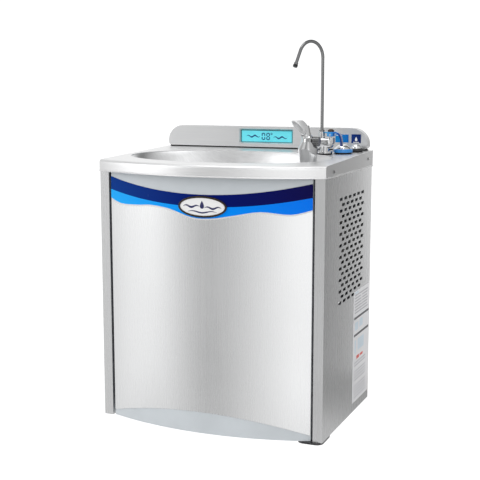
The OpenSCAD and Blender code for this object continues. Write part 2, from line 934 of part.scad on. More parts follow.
// A screw's head on the lip at y, a fixed height above the lip's foot
module lip_screw(y) {
    z = lip_z + screw_up + deck_z(y) - deck_z0;
    translate([top_x, y, z]) rotate([0, 90, 0])
        difference() {
            cylinder(r1 = screw_r, r2 = screw_r - screw_head_t / 2, h = screw_head_t);
            translate([-screw_slot_w / 2, -screw_r, screw_head_t - screw_slot_d])
                cube([screw_slot_w, 2 * screw_r, screw_slot_d + cut]);
        }
}

module lip_screws() {
    color([0.45, 0.46, 0.48]) mounted()
        for (side = [0, 1]) mirror([side, 0, 0])
            for (y = [-screw_rear, screw_front - cabinet_d]) lip_screw(y);
}

// The flat gasket's wedge between the sloping deck and an upright fitting
module deck_gasket(x, y, z, r, hole) {
    intersection() {
        translate([x, y, lip_z])
            difference() {
                cylinder(r = r, h = z - lip_z);
                translate([0, 0, -cut]) cylinder(r = hole, h = z - lip_z + 2 * cut);
            }
        over_deck();
    }
}

module deck_gaskets() {
    half = splash_w / 2 - strip_inset;
    color([0.12, 0.12, 0.13]) mounted() {
        deck_gasket(faucet_x, faucet_y, faucet_z, faucet_flange_r - gap, shank_r + shank_clear);
        deck_gasket(button_x, button_y, button_z, button_r - gasket_inset, barrel_r + barrel_clear);
        deck_gasket(knob_x, knob_y, knob_z, knob_r - gasket_inset / 2, knob_barrel_r + barrel_clear);
        intersection() {
            span([-half, strip_inset - splash_d, lip_z], [half, -strip_inset, splash_z]);
            over_deck();
        }
        translate([bubbler_x, bubbler_y, pad_z])
            difference() {
                cylinder(r = foot_r - gap, h = gasket_t);
                translate([0, 0, -cut]) cylinder(r = shank_r + shank_clear, h = gasket_t + 2 * cut);
            }
    }
}

// A hexagon nut whose upper face is at z
module deck_nut(x, y, z, hole, r) {
    translate([x, y, z - nut_h])
        difference() {
            cylinder(r = r, h = nut_h, $fn = 6);
            translate([0, 0, -cut]) cylinder(r = hole + thread_gap, h = nut_h + 2 * cut);
        }
}

module deck_nuts() {
    button_nut_r = barrel_r + nut_wall;
    knob_nut_r = knob_barrel_r + nut_wall;
    color([0.7, 0.62, 0.4]) mounted() {
        deck_nut(bubbler_x, bubbler_y, pad_z - pad_t, shank_r, nut_r);
        deck_nut(faucet_x, faucet_y, under_deck(faucet_y - nut_r), shank_r, nut_r);
        deck_nut(button_x, button_y, under_deck(button_y - button_nut_r), barrel_r, button_nut_r);
        deck_nut(knob_x, knob_y, under_deck(knob_y - knob_nut_r), knob_barrel_r, knob_nut_r);
    }
}

// The door's plan between two radii of its bow, in front of y0
module door_band(r_out, r_in, y0) {
    intersection() {
        translate([0, door_cy])
            difference() {
                circle(r = r_out, $fn = bow_fn);
                circle(r = r_in, $fn = bow_fn);
            }
        translate([-door_half, -reach]) square([2 * door_half, reach + y0]);
    }
}

module door_cap() {
    linear_extrude(shell_t)
        intersection() {
            translate([0, door_cy]) circle(r = door_r, $fn = bow_fn);
            translate([-door_half, -reach]) square([2 * door_half, reach - door_back]);
        }
}

module door_shell() {
    height = door_z1 - door_foot_gap;
    color([0.66, 0.7, 0.74]) mounted()
        difference() {
            union() {
                translate([0, 0, door_foot_gap]) {
                    linear_extrude(height) door_band(door_r, door_r - shell_t, -door_back);
                    linear_extrude(height)
                        intersection() {
                            translate([0, door_cy]) circle(r = door_r, $fn = bow_fn);
                            for (x = [-door_half, door_half - shell_t])
                                translate([x, -reach]) square([shell_t, reach - door_back]);
                        }
                    door_cap();
                    translate([0, 0, height - shell_t]) door_cap();
                }
                for (z = [door_foot_gap, door_z1 - bush_h])
                    translate([hinge_x, hinge_y, z]) cylinder(r = bush_r + boss_wall, h = bush_h);
            }
            for (z = [door_foot_gap, door_z1 - bush_h])
                translate([hinge_x, hinge_y, z - cut]) cylinder(r = bush_r, h = bush_h + 2 * cut);
        }
}

module hinge_bushes() {
    color([0.9, 0.9, 0.88]) mounted()
        for (z = [door_foot_gap, door_z1 - bush_h])
            translate([hinge_x, hinge_y, z])
                difference() {
                    cylinder(r = bush_r, h = bush_h);
                    translate([0, 0, -cut]) cylinder(r = hinge_pin_r + fit, h = bush_h + 2 * cut);
                }
}

// Heights of the skin's arched edges and of the stripes' edges at x, above the cabinet's underside
function arch(x) = pow(x / door_half, 2);
function skin_top(x) = door_z1 - skin_top_mid + (skin_top_mid - skin_top_end) * arch(x);
function skin_foot(x) = skin_foot_mid - (skin_foot_mid - skin_foot_end) * arch(x);
function stripe_edge(x) = skin_top(x) - stripe_mid - (stripe_end - stripe_mid) * arch(x);
function door_places() = [for (i = [0:door_steps]) door_half * (2 * i / door_steps - 1)];
function wave_edge() =
    smooth([for (i = [0:len(stripe_drops) - 1])
        [door_half * stripe_place_shares[i], door_z1 - stripe_drops[i]]], 4);
function backwards(p) = [for (i = [len(p) - 1:-1:0]) p[i]];

module bowed_sheet(r_out, r_in) {
    intersection() {
        linear_extrude(cabinet_h) door_band(r_out, r_in, -door_back);
        along_y(-reach, 0) children();
    }
}

module door_skin() {
    color([0.83, 0.84, 0.85]) mounted()
        bowed_sheet(skin_r, door_r)
            polygon(concat([for (x = door_places()) [x, skin_foot(x)]],
                           backwards([for (x = door_places()) [x, skin_top(x)]])));
}

module stripe_dark() {
    color([0, 0.08, 0.42]) mounted()
        bowed_sheet(skin_r + decal_t, skin_r)
            polygon(concat([for (x = door_places()) [x, stripe_edge(x)]],
                           backwards([for (x = door_places()) [x, skin_top(x)]])));
}

module stripe_light() {
    color([0, 0.55, 1]) mounted()
        bowed_sheet(skin_r + decal_t, skin_r)
            polygon(concat(wave_edge(), backwards([for (x = door_places()) [x, stripe_edge(x)]])));
}

module badge_oval(inset) {
    translate([badge_x, door_z1 - badge_drop])
        polygon(oval_points(badge_a - inset, badge_b - inset, badge_steps, 1));
}

module badge_bezel() {
    color([0.25, 0.2, 0.16]) mounted()
        bowed_sheet(skin_r + decal_t + badge_t, skin_r + decal_t)
            difference() {
                badge_oval(0);
                badge_oval(badge_rim);
            }
}

module badge_face() {
    color([0.96, 0.96, 0.96]) mounted()
        bowed_sheet(skin_r + decal_t + badge_face_t, skin_r + decal_t) badge_oval(badge_rim);
}

module door_stiffeners() {
    x = door_half - shell_t;
    color([0.6, 0.62, 0.64]) mounted()
        for (share = stiff_shares) {
            z = share * door_z1;
            span([-x, -door_back - stiff_t, z], [x, -door_back, z + stiff_h]);
            for (dz = [0, stiff_h - stiff_t])
                span([-x, -door_back - stiff_d, z + dz], [x, -door_back, z + dz + stiff_t]);
        }
}

module catch_strike() {
    color([0.5, 0.5, 0.52]) mounted()
        span([-door_half, -door_back, catch_mid - catch_h / 2],
             [strike_w - door_half, strike_t - door_back, catch_mid + catch_h / 2]);
}

module door_catch() {
    y0 = strike_t + catch_gap - door_back;
    color([0.15, 0.15, 0.16]) mounted()
        span([-side_in_x, y0, catch_mid - catch_h / 2],
             [catch_w - side_in_x, y0 + catch_d, catch_mid + catch_h / 2]);
}

module post_seal() {
    y0 = seal_front - cabinet_d;
    color([0.06, 0.06, 0.07]) mounted()
        span([post_x - seal_t, y0, door_foot_gap], [post_x, y0 + seal_d, door_z1]);
}

// The hinge plate runs under the cabinet's corner, rounded at the front
module lower_hinge() {
    post_mid = side_x - gap - hinge_plate_half;
    color([0.1, 0.1, 0.11]) mounted() {
        translate([hinge_x, hinge_y, -hinge_plate_t]) {
            cylinder(r = hinge_plate_half, h = hinge_plate_t);
            cylinder(r = hinge_pin_r, h = hinge_plate_t + bush_h);
        }
        translate([post_mid, hinge_y, -hinge_plate_t]) cylinder(r = hinge_plate_half, h = hinge_plate_t);
        span([hinge_x, hinge_y - hinge_plate_half, -hinge_plate_t], [post_mid, hinge_y, 0]);
        span([hinge_x - hinge_plate_half, hinge_y, -hinge_plate_t], [side_x - gap, pan_y0 + pan_edge_h, 0]);
    }
}

module upper_hinge() {
    z0 = door_z1 + hinge_plate_up;
    arm_y = post_return + gap - cabinet_d;
    color([0.1, 0.1, 0.11]) mounted() {
        translate([hinge_x, hinge_y, 0]) {
            translate([0, 0, z0]) cylinder(r = bush_r + boss_wall, h = top_plate_t);
            translate([0, 0, door_z1 - bush_h]) cylinder(r = hinge_pin_r, h = bush_h + hinge_plate_up);
        }
        span([hinge_x - bush_r, arm_y, z0], [side_in_x, arm_y + hinge_plate_half, z0 + top_plate_t]);
    }
}

// The bubbler stands on its gasket, and its parts are placed from its foot
module at_bubbler() { translate([bubbler_x, bubbler_y, pad_z + gasket_t]) children(); }

module guard_place() {
    translate([guard_x, guard_y, guard_z]) rotate([0, guard_turn, 0]) rotate([guard_tip, 0, 0]) children();
}

// The mouth guard's hood without its hollow, open at the front oval
module guard_hood(inset, over) {
    back = guard_back_share;
    hull() {
        translate([0, 0, -guard_rim_t]) linear_extrude(guard_rim_t + over)
            polygon(oval_points(guard_a - inset, guard_b - inset, guard_steps, 1));
        translate([0, 0, inset - guard_deep])
            linear_extrude(guard_rim_t)
                polygon(oval_points(back * guard_a - inset / 2, back * guard_b - inset / 2, guard_steps, 1));
    }
}

module mouth_guard() {
    color([0.85, 0.86, 0.87]) mounted() at_bubbler() guard_place() {
        difference() {
            guard_hood(0, 0);
            guard_hood(guard_wall, guard_wall);
        }
        translate([0, 0, guard_wall - guard_deep]) cylinder(r = jet_r, h = jet_h);
    }
}

module bubbler_body() {
    bore = button_stem_h + bubbler_travel + gap;
    color([0.86, 0.87, 0.88]) mounted() at_bubbler()
        difference() {
            union() {
                cylinder(r = foot_r, h = foot_h);
                translate([0, 0, foot_h]) cylinder(r1 = waist_r, r2 = shoulder_r, h = shoulder_h - foot_h);
                translate([0, 0, shoulder_h])
                    cylinder(r1 = shoulder_r, r2 = valve_r, h = valve_z - shoulder_h);
                translate([0, 0, valve_z]) sphere(r = valve_r);
                translate([0, 0, valve_z]) rotate([0, 90, 0]) cylinder(r = valve_r, h = valve_front);
                rod([0, 0, shoulder_h], [throat_x, throat_y, throat_z], throat_r);
                translate([0, 0, -shank_h]) cylinder(r = shank_r, h = shank_h);
            }
            guard_place() guard_hood(0, cut);
            translate([valve_front, 0, valve_z]) rotate([0, 90, 0]) {
                cylinder(r = bubbler_button_r + gap, h = valve_r);
                translate([0, 0, -bore]) cylinder(r = button_stem_r + fit, h = bore + cut);
            }
        }
}

module bubbler_button() {
    rest = valve_front + bubbler_travel + gap;
    color([0.2, 0.2, 0.21]) mounted() at_bubbler() translate([rest, 0, valve_z]) rotate([0, 90, 0]) {
        difference() {
            cylinder(r = bubbler_button_r, h = button_cap_h);
            for (i = [0:grips - 1]) rotate([0, 0, 360 * i / grips])
                translate([bubbler_button_r, 0, -cut]) cylinder(r = grip_r, h = button_cap_h + 2 * cut);
        }
        translate([0, 0, -button_stem_h]) cylinder(r = button_stem_r, h = button_stem_h);
    }
}

// The faucet stands on its gasket, and its parts are placed from its flange
module at_faucet() { translate([faucet_x, faucet_y, faucet_z]) children(); }

module faucet_body() {
    color([0.86, 0.87, 0.88]) mounted() at_faucet()
        difference() {
            union() {
                cylinder(r = faucet_flange_r, h = flange_h);
                cylinder(r = column_r, h = valve_level);
                translate([ball_left, 0, valve_level])
                    rotate([0, 90, 0]) cylinder(r = faucet_ball_r, h = ball_right - ball_left);
                for (x = [ball_left, ball_right]) translate([x, 0, valve_level]) sphere(r = faucet_ball_r);
                translate([socket_x, 0, valve_level]) cylinder(r = socket_r, h = socket_h - valve_level);
                translate([bonnet_x, 0, valve_level]) cylinder(r = bonnet_r, h = bonnet_h - valve_level);
                translate([bonnet_x, 0, valve_level]) cylinder(r = lug_r, h = pin_h + lug_up - valve_level);
                translate([0, 0, -shank_h]) cylinder(r = shank_r, h = shank_h);
            }
            translate([socket_x, 0, socket_h - collar_h - gap])
                cylinder(r = collar_r + fit, h = collar_h + gap + cut);
            translate([bonnet_x, cut, pin_h]) rotate([90, 0, 0]) cylinder(r = pin_r, h = 2 * cut);
        }
}

module lever_pin() {
    color([0.6, 0.61, 0.63]) mounted() at_faucet()
        translate([bonnet_x, hub_out, pin_h]) rotate([90, 0, 0]) cylinder(r = pin_r, h = 2 * hub_out);
}

// The gooseneck rises from the socket, bends over the bowl and ends in a short nozzle
module gooseneck() {
    end = 180 - neck_turn;
    color([0.72, 0.73, 0.75]) mounted() at_faucet() translate([socket_x, 0, 0]) {
        translate([0, 0, socket_h - collar_h]) cylinder(r = collar_r, h = collar_h);
        translate([0, 0, socket_h - collar_h]) cylinder(r = neck_r, h = neck_h - socket_h + collar_h);
        translate([0, 0, socket_h + gap]) cylinder(r = collar_r + ferrule_wall, h = ferrule_h);
        rotate([0, 0, neck_aim]) {
            translate([neck_bend, 0, neck_h]) rotate([90, 0, 0]) rotate([0, 0, end])
                rotate_extrude(angle = neck_turn) translate([neck_bend, 0]) circle(r = neck_r + bend_swell);
            translate([neck_bend * (1 + cos(end)), 0, neck_h + neck_bend * sin(end)])
                rotate([0, neck_turn, 0])
                    difference() {
                        union() {
                            cylinder(r = neck_r, h = neck_tail);
                            translate([0, 0, neck_tail - nozzle_h])
                                cylinder(r = neck_r + nozzle_wall, h = nozzle_h);
                        }
                        translate([0, 0, neck_tail - nozzle_h])
                            cylinder(r = neck_r - nozzle_wall, h = nozzle_h + cut);
                    }
        }
    }
}

// Points either side of a line, half a thickness away
function side_points(p, half) =
    [for (i = [0:len(p) - 1])
        let (a = p[max(i - 1, 0)], b = p[min(i + 1, len(p) - 1)], d = (b - a) / norm(b - a))
        p[i] + half * [-d[1], d[0]]];

module faucet_lever() {
    path = smooth([for (s = lever_shares) lever_drop * s], 3);
    color([0, 0.5, 0.95]) mounted() at_faucet() translate([bonnet_x, 0, pin_h]) {
        span([-lever_back, -hub_out, web_up], [hub_half, hub_out, web_up + web_t]);
        for (side = [0, 1]) mirror([0, side, 0])
            difference() {
                span([-hub_half, hub_in, -cheek_drop], [hub_half, hub_out, web_up]);
                translate([0, hub_out + cut, 0])
                    rotate([90, 0, 0]) cylinder(r = pin_r + fit, h = hub_out + 2 * cut);
            }
        along_y(-lever_w / 2, lever_w / 2)
            polygon(concat(side_points(path, lever_t / 2), backwards(side_points(path, -lever_t / 2))));
    }
}

module faucet_cap() {
    color([0.45, 0.36, 0.32]) mounted() at_faucet()
        translate([bonnet_x, 0, pin_h + web_up + web_t]) {
            cylinder(r = cap_r, h = cap_h / 2);
            translate([0, 0, cap_h / 2]) dome(cap_r, cap_h / 2);
        }
}

// The top of a ball, of radius r at its foot and height h
module dome(r, h) {
    ball = (r * r + h * h) / (2 * h);
    intersection() {
        translate([0, 0, h - ball]) sphere(r = ball);
        cylinder(r = r, h = 2 * h);
    }
}

// A push button's ring and threaded barrel, from the ring's foot
module button_bezel(r, h, barrel, barrel_len, plunger) {
    difference() {
        union() {
            cylinder(r = r, h = h - ring_round);
            translate([0, 0, h - ring_round]) cylinder(r1 = r, r2 = r - ring_round, h = ring_round);
            translate([0, 0, -barrel_len]) cylinder(r = barrel, h = barrel_len);
        }
        translate([0, 0, ring_floor]) cylinder(r = r - button_rim + gap, h = h + cut);
        translate([0, 0, -barrel_len - cut])
            cylinder(r = plunger + fit, h = barrel_len + ring_floor + 2 * cut);
    }
}

// A push button's domed cap and plunger, at rest in its ring
module button_cap(r, h, dome_up, travel, plunger, plunger_len) {
    foot = ring_floor + travel + gap;
    translate([0, 0, foot]) cylinder(r = r - button_rim, h = h - foot);
    translate([0, 0, h]) dome(r - button_rim, dome_up);
    translate([0, 0, foot - plunger_len]) cylinder(r = plunger, h = plunger_len);
}

module main_button_bezel() {
    color([0.1, 0.5, 0.9]) mounted() translate([button_x, button_y, button_z])
        button_bezel(button_r, ring_h, barrel_r, barrel_h, plunger_r);
}

module main_button_cap() {
    color([0.88, 0.88, 0.9]) mounted() translate([button_x, button_y, button_z])
        button_cap(button_r, ring_h, dome_h, button_travel, plunger_r, plunger_h);
}

module side_button_bezel() {
    color([0.2, 0.2, 0.22]) mounted() translate([knob_x, knob_y, knob_z])
        button_bezel(knob_r, knob_ring_h, knob_barrel_r, knob_barrel_h, knob_plunger_r);
}

module side_button_cap() {
    color([0.85, 0.86, 0.88]) mounted() translate([knob_x, knob_y, knob_z])
        button_cap(knob_r, knob_ring_h, knob_dome_h, knob_travel, knob_plunger_r, plunger_h);
}

module compressor() {
    z0 = sheet_t + foot_pad_h;
    steps = 8;
    color([0.1, 0.1, 0.11]) mounted() translate([compressor_x, compressor_y, z0]) {
        difference() {
            span([-base_half, -base_half, 0], [base_half, base_half, base_t]);
            for (x = [-1, 1]) for (y = [-1, 1])
                translate([x * (base_half - foot_inset), y * (base_half - foot_inset), -cut])
                    cylinder(r = foot_bolt_r + thread_gap, h = base_t + 2 * cut);
        }
        translate([0, 0, base_t])
            rotate_extrude()
                polygon(concat([[0, 0]],
                    arc_points([compressor_r - shell_round, shell_round], shell_round, -90, 0, steps),
                    arc_points([compressor_r - shell_dome, compressor_h - shell_dome],
                               shell_dome, 0, 90, steps),
                    [[0, compressor_h]]));
        span([compressor_r - terminal_d / 2, -terminal_w / 2, base_t + terminal_h],
             [compressor_r + terminal_d / 2, terminal_w / 2, base_t + 2 * terminal_h]);
    }
}

// Rubber feet on the pan, with a stud up through the compressor's base plate
module compressor_feet() {
    color([0.15, 0.15, 0.15]) mounted()
        for (x = [-1, 1]) for (y = [-1, 1])
            translate([compressor_x + x * (base_half - foot_inset),
                       compressor_y + y * (base_half - foot_inset), sheet_t]) {
                cylinder(r = foot_pad_r, h = foot_pad_h);
                cylinder(r = foot_bolt_r, h = foot_pad_h + 2 * base_t);
            }
}

module condenser() {
    mid_x = (condenser_x0 + condenser_x1) / 2;
    pitch_z = condenser_h / coil_rows;
    color([0.55, 0.42, 0.34]) mounted() {
        for (i = [0:fin_count - 1]) {
            y = condenser_y0 + (condenser_d - fin_t) * i / (fin_count - 1);
            span([condenser_x0, y, sheet_t], [condenser_x1, y + fin_t, sheet_t + condenser_h]);
        }
        for (k = [0:coil_rows - 1]) {
            z = sheet_t + pitch_z * (k + 0.5);
            rod([mid_x, condenser_y0 - coil_bend_out, z], [mid_x, condenser_y1 + coil_bend_out, z], coil_r);
        }
        for (k = [0:coil_rows - 2])
            translate([mid_x, k % 2 == 0 ? condenser_y1 + coil_bend_out : condenser_y0 - coil_bend_out,
                       sheet_t + pitch_z * (k + 1)])
                rotate([90, 0, 90]) rotate([0, 0, k % 2 == 0 ? -90 : 90])
                    rotate_extrude(angle = 180) translate([pitch_z / 2, 0]) circle(r = coil_r);
    }
}

module fan_bracket() {
    half = fan_r + bracket_margin;
    color([0.6, 0.62, 0.64]) mounted() {
        difference() {
            span([fan_x - bracket_t, fan_y - half, sheet_t], [fan_x, fan_y + half, fan_z + half]);
            translate([fan_x - bracket_t - cut, fan_y, fan_z])
                rotate([0, 90, 0]) cylinder(r = fan_r, h = bracket_t + 2 * cut);
        }
        for (y = [-spoke_w / 2 - motor_r, motor_r - spoke_w / 2])
            span([fan_x - 2 * bracket_t, fan_y + y, fan_z - half],
                 [fan_x - bracket_t, fan_y + y + spoke_w, fan_z + half]);
        span([fan_x - 2 * bracket_t, fan_y - motor_r, fan_z - spoke_w],
             [fan_x - bracket_t, fan_y - shaft_r - gap, fan_z + spoke_w]);
        span([fan_x - 2 * bracket_t, fan_y + shaft_r + gap, fan_z - spoke_w],
             [fan_x - bracket_t, fan_y + motor_r, fan_z + spoke_w]);
    }
}

module fan_motor() {
    face = fan_x - 2 * bracket_t;
    color([0.25, 0.25, 0.27]) mounted()
        difference() {
            translate([face - motor_h, fan_y, fan_z]) rotate([0, 90, 0]) cylinder(r = motor_r, h = motor_h);
            translate([face - shaft_h, fan_y, fan_z])
                rotate([0, 90, 0]) cylinder(r = shaft_r + fit, h = shaft_h + cut);
        }
}

module fan_rotor() {
    x0 = fan_x + gap;
    tip = fan_r - blade_tip_gap;
    color([0.3, 0.3, 0.32]) mounted() translate([x0, fan_y, fan_z]) rotate([0, 90, 0]) {
        cylinder(r = fan_hub_r, h = fan_hub_h);
        translate([0, 0, -shaft_h]) cylinder(r = shaft_r, h = shaft_h);
        for (i = [0:fan_blades - 1])
            rotate([0, 0, 360 * i / fan_blades]) translate([0, 0, fan_hub_h / 2]) rotate([blade_lean, 0, 0])
                span([fan_hub_r / 2, -blade_w / 2, -blade_t / 2], [tip, blade_w / 2, blade_t / 2]);
    }
}

module tank_shelf() {
    x1 = tank_x0 + tank_w;
    y0 = tank_y1 - tank_d;
    y1 = -back_t - sheet_t;
    low_z = shelf_z - shelf_flange;
    color([0.6, 0.62, 0.64]) mounted() {
        span([-side_in_x, y0, shelf_z], [x1, y1, tank_z0]);
        span([-side_in_x, y0, low_z], [sheet_t - side_in_x, tank_y1, shelf_z]);
        span([rear_flange_w + gap - side_x, y1, low_z], [x1, -back_t, tank_z0]);
    }
}

module round_block(w, d, h, r) {
    for (x = [r, w - r]) for (y = [r, d - r]) translate([x, y, 0]) cylinder(r = r, h = h);
    span([r, 0, 0], [w - r, d, h]);
    span([0, r, 0], [w, d - r, h]);
}

function tank_nipples() = [
    [tank_x0 + tank_w - nipple_in, tank_y1 - nipple_in],
    [tank_x0 + tank_w - nipple_in, tank_y1 - tank_d + nipple_in],
];

module cold_tank() {
    color([0.15, 0.16, 0.2]) mounted() {
        translate([tank_x0, tank_y1 - tank_d, tank_z0]) round_block(tank_w, tank_d, tank_h, tank_round);
        for (p = tank_nipples()) translate([p[0], p[1], tank_top]) cylinder(r = nipple_r, h = nipple_h);
    }
}

module filter_head() {
    color([0.9, 0.9, 0.92]) mounted() {
        translate([filter_x, filter_y, filter_head_z]) cylinder(r = filter_head_r, h = filter_head_h);
        span([filter_x - lug_w / 2, filter_y, filter_head_z], [filter_x + lug_w / 2, -back_t,
             filter_head_z + filter_head_h]);
        rod([filter_x - port_out, filter_y, filter_head_z + filter_head_h / 2],
            [filter_x + port_out, filter_y, filter_head_z + filter_head_h / 2], port_r);
    }
}

module filter_cartridge() {
    top = filter_head_z - filter_neck_h;
    steps = 6;
    round_by = filter_neck_h;
    color([0.93, 0.94, 0.96]) mounted() translate([filter_x, filter_y, 0]) {
        translate([0, 0, top - filter_len])
            rotate_extrude()
                polygon(concat([[0, 0]],
                    arc_points([filter_r - round_by, round_by], round_by, -90, 0, steps),
                    arc_points([filter_r - round_by, filter_len - round_by], round_by, 0, 90, steps),
                    [[0, filter_len]]));
        translate([0, 0, top]) cylinder(r = filter_neck_r, h = filter_neck_h);
    }
}

module inlet_valve() {
    color([0.8, 0.65, 0.35]) mounted() translate([inlet_x, inlet_y, 0]) {
        translate([0, 0, sheet_t]) cylinder(r = inlet_foot_r, h = inlet_foot_h);
        translate([0, 0, sheet_t]) cylinder(r = inlet_body_r, h = inlet_body_h);
        translate([0, 0, -inlet_below]) cylinder(r = inlet_r, h = inlet_below + sheet_t);
        translate([0, 0, inlet_spigot - inlet_below])
            cylinder(r = inlet_body_r, h = inlet_below - inlet_spigot - gap, $fn = 6);
        translate([0, 0, inlet_stem_z])
            rotate([90, 0, 0]) cylinder(r = inlet_stem_r, h = inlet_body_r + inlet_stem_out);
    }
}

module inlet_handle() {
    y0 = inlet_y - inlet_body_r - gap;
    color([0.1, 0.35, 0.75]) mounted()
        difference() {
            union() {
                translate([inlet_x, y0, inlet_stem_z])
                    rotate([90, 0, 0]) cylinder(r = handle_hub_r, h = handle_t);
                span([inlet_x, y0 - handle_t, inlet_stem_z - handle_w / 2],
                     [inlet_x + handle_len, y0, inlet_stem_z + handle_w / 2]);
            }
            translate([inlet_x, y0 + cut, inlet_stem_z])
                rotate([90, 0, 0]) cylinder(r = inlet_stem_r + fit, h = handle_t + 2 * cut);
        }
}

module solenoid_valve() {
    x0 = solenoid_x - solenoid_w / 2;
    color([0.85, 0.85, 0.83]) mounted() {
        span([x0, -back_t - solenoid_d, solenoid_z], [x0 + solenoid_w, -back_t, solenoid_z + solenoid_h]);
        translate([solenoid_x, -back_t - solenoid_d / 2, solenoid_z + solenoid_h])
            cylinder(r = coil_can_r, h = coil_can_h);
    }
}

// The blue water tubes: inlet to filter, filter to tank, tank to the two outlets
module water_tubes() {
    port_z = filter_head_z + filter_head_h / 2;
    nipple_z = tank_top + nipple_h + gap;
    cold = tank_nipples()[1];
    warm = tank_nipples()[0];
    riser_x = filter_x + filter_r + 4 * tube_r;
    riser_y = inlet_y + 2 * tube_r;
    high_z = nipple_z + 4 * tube_r;
    lane_y = bubbler_y - pad_r - 4 * tube_r - nut_r;
    bubbler_foot = pad_z + gasket_t - shank_h - gap;
    faucet_foot = faucet_z - shank_h - gap;
    valve_x1 = solenoid_x + solenoid_w / 2 + gap;
    valve_y = -back_t - solenoid_d;
    valve_mid = solenoid_z + solenoid_h / 2;
    color([0.2, 0.5, 0.85]) mounted() {
        run([[inlet_x, inlet_y, inlet_top + gap], [inlet_x, inlet_y, inlet_top + 6 * tube_r],
             [riser_x, riser_y, inlet_top + 10 * tube_r], [riser_x, riser_y, port_z - 2 * tube_r],
             [riser_x, filter_y, port_z], [filter_x + port_out + gap, filter_y, port_z]], tube_r, 0);
        run([[filter_x - port_out - gap, filter_y, port_z], [bowl_x, filter_y, port_z],
             [warm[0], filter_y, high_z], [warm[0], warm[1], high_z],
             [warm[0], warm[1], nipple_z]], tube_r, 0);
        run([[cold[0], cold[1], nipple_z], [cold[0], cold[1], high_z],
             [bubbler_x - 4 * tube_r, lane_y, high_z], [bubbler_x, bubbler_y, high_z],
             [bubbler_x, bubbler_y, bubbler_foot]], tube_r, 0);
        run([[bubbler_x, bubbler_y, high_z], [solenoid_x, faucet_y, high_z],
             [solenoid_x, valve_y - 4 * tube_r, valve_mid],
             [solenoid_x, valve_y - gap, valve_mid]], tube_r, 1);
        run([[valve_x1, valve_y / 2, valve_mid], [faucet_x, valve_y / 2, valve_mid],
             [faucet_x, faucet_y, valve_mid], [faucet_x, faucet_y, faucet_foot]], tube_r, 0);
    }
}

module control_box() {
    x0 = control_x - control_w / 2;
    y0 = -back_t - control_d;
    color([0.75, 0.76, 0.77]) mounted() {
        difference() {
            span([x0, y0, control_z], [x0 + control_w, -back_t, control_z1]);
            translate([control_x, y0 + dial_depth, dial_z])
                rotate([90, 0, 0]) cylinder(r = knob_shaft_r + fit, h = dial_depth + cut);
        }
    }
}

module thermostat_knob() {
    y0 = -back_t - control_d;
    color([0.12, 0.12, 0.13]) mounted() translate([control_x, y0, dial_z]) rotate([90, 0, 0]) {
        translate([0, 0, dial_gap])
            difference() {
                cylinder(r = dial_r, h = dial_h);
                span([-pointer_w / 2, dial_r / 2, dial_h - pointer_w],
                     [pointer_w / 2, dial_r + cut, dial_h + cut]);
            }
        translate([0, 0, gap - dial_depth]) cylinder(r = knob_shaft_r, h = dial_depth + dial_gap);
    }
}

module power_inlet() {
    half_w = socket_w / 2;
    half_d = socket_d / 2;
    color([0.1, 0.1, 0.1]) mounted() translate([power_x, power_y, 0]) {
        difference() {
            union() {
                span([-half_w, -half_d, -socket_rim_t], [half_w, half_d, socket_up]);
                span([-half_w - socket_rim, -half_d - socket_rim, -socket_rim_t],
                     [half_w + socket_rim, half_d + socket_rim, 0]);
            }
            span([socket_wall - half_w, socket_wall - half_d, -socket_rim_t - cut],
                 [half_w - socket_wall, half_d - socket_wall, socket_up - socket_wall]);
        }
        for (i = [-1:1])
            translate([i * blade_pin_pitch - blade_pin_w / 2, -blade_pin_d / 2,
                       socket_up - socket_wall - blade_pin_h])
                cube([blade_pin_w, blade_pin_d, blade_pin_h + socket_wall / 2]);
    }
}

back_panel();
bottom_pan();
left_side_panel();
right_side_panel();
top_deck();
basin_bowl();
drain_strainer();
drain_tailpiece();
drain_nut();
waste_pipe();
backsplash();
display_lens();
display_board();
splash_labels();
side_label();
lip_screws();
lower_hinge();
upper_hinge();
post_seal();
door_catch();
door_shell();
door_skin();
stripe_dark();
stripe_light();
badge_bezel();
badge_face();
hinge_bushes();
door_stiffeners();
catch_strike();
bubbler_body();
mouth_guard();
bubbler_button();
deck_gaskets();
deck_nuts();
faucet_body();
gooseneck();
faucet_lever();
lever_pin();
faucet_cap();
main_button_bezel();
main_button_cap();
side_button_bezel();
side_button_cap();
compressor();
compressor_feet();
condenser();
fan_bracket();
fan_motor();
fan_rotor();
cold_tank();
tank_shelf();
filter_head();
filter_cartridge();
water_tubes();
inlet_valve();
inlet_handle();
control_box();
thermostat_knob();
power_inlet();
solenoid_valve();
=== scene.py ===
import bmesh
import bpy
import json
import math
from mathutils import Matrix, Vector


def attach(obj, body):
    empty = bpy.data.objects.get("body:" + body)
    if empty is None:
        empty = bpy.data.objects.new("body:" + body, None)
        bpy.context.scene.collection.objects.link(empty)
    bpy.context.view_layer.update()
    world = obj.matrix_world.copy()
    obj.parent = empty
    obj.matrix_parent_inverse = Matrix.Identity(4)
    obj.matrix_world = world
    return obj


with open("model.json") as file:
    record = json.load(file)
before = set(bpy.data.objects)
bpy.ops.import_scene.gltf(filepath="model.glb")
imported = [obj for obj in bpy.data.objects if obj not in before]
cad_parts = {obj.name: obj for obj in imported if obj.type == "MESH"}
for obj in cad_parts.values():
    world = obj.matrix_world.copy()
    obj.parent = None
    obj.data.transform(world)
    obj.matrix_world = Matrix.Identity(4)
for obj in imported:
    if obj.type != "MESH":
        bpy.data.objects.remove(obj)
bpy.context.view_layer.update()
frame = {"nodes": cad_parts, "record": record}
nodes = frame["nodes"]
scene = bpy.context.scene

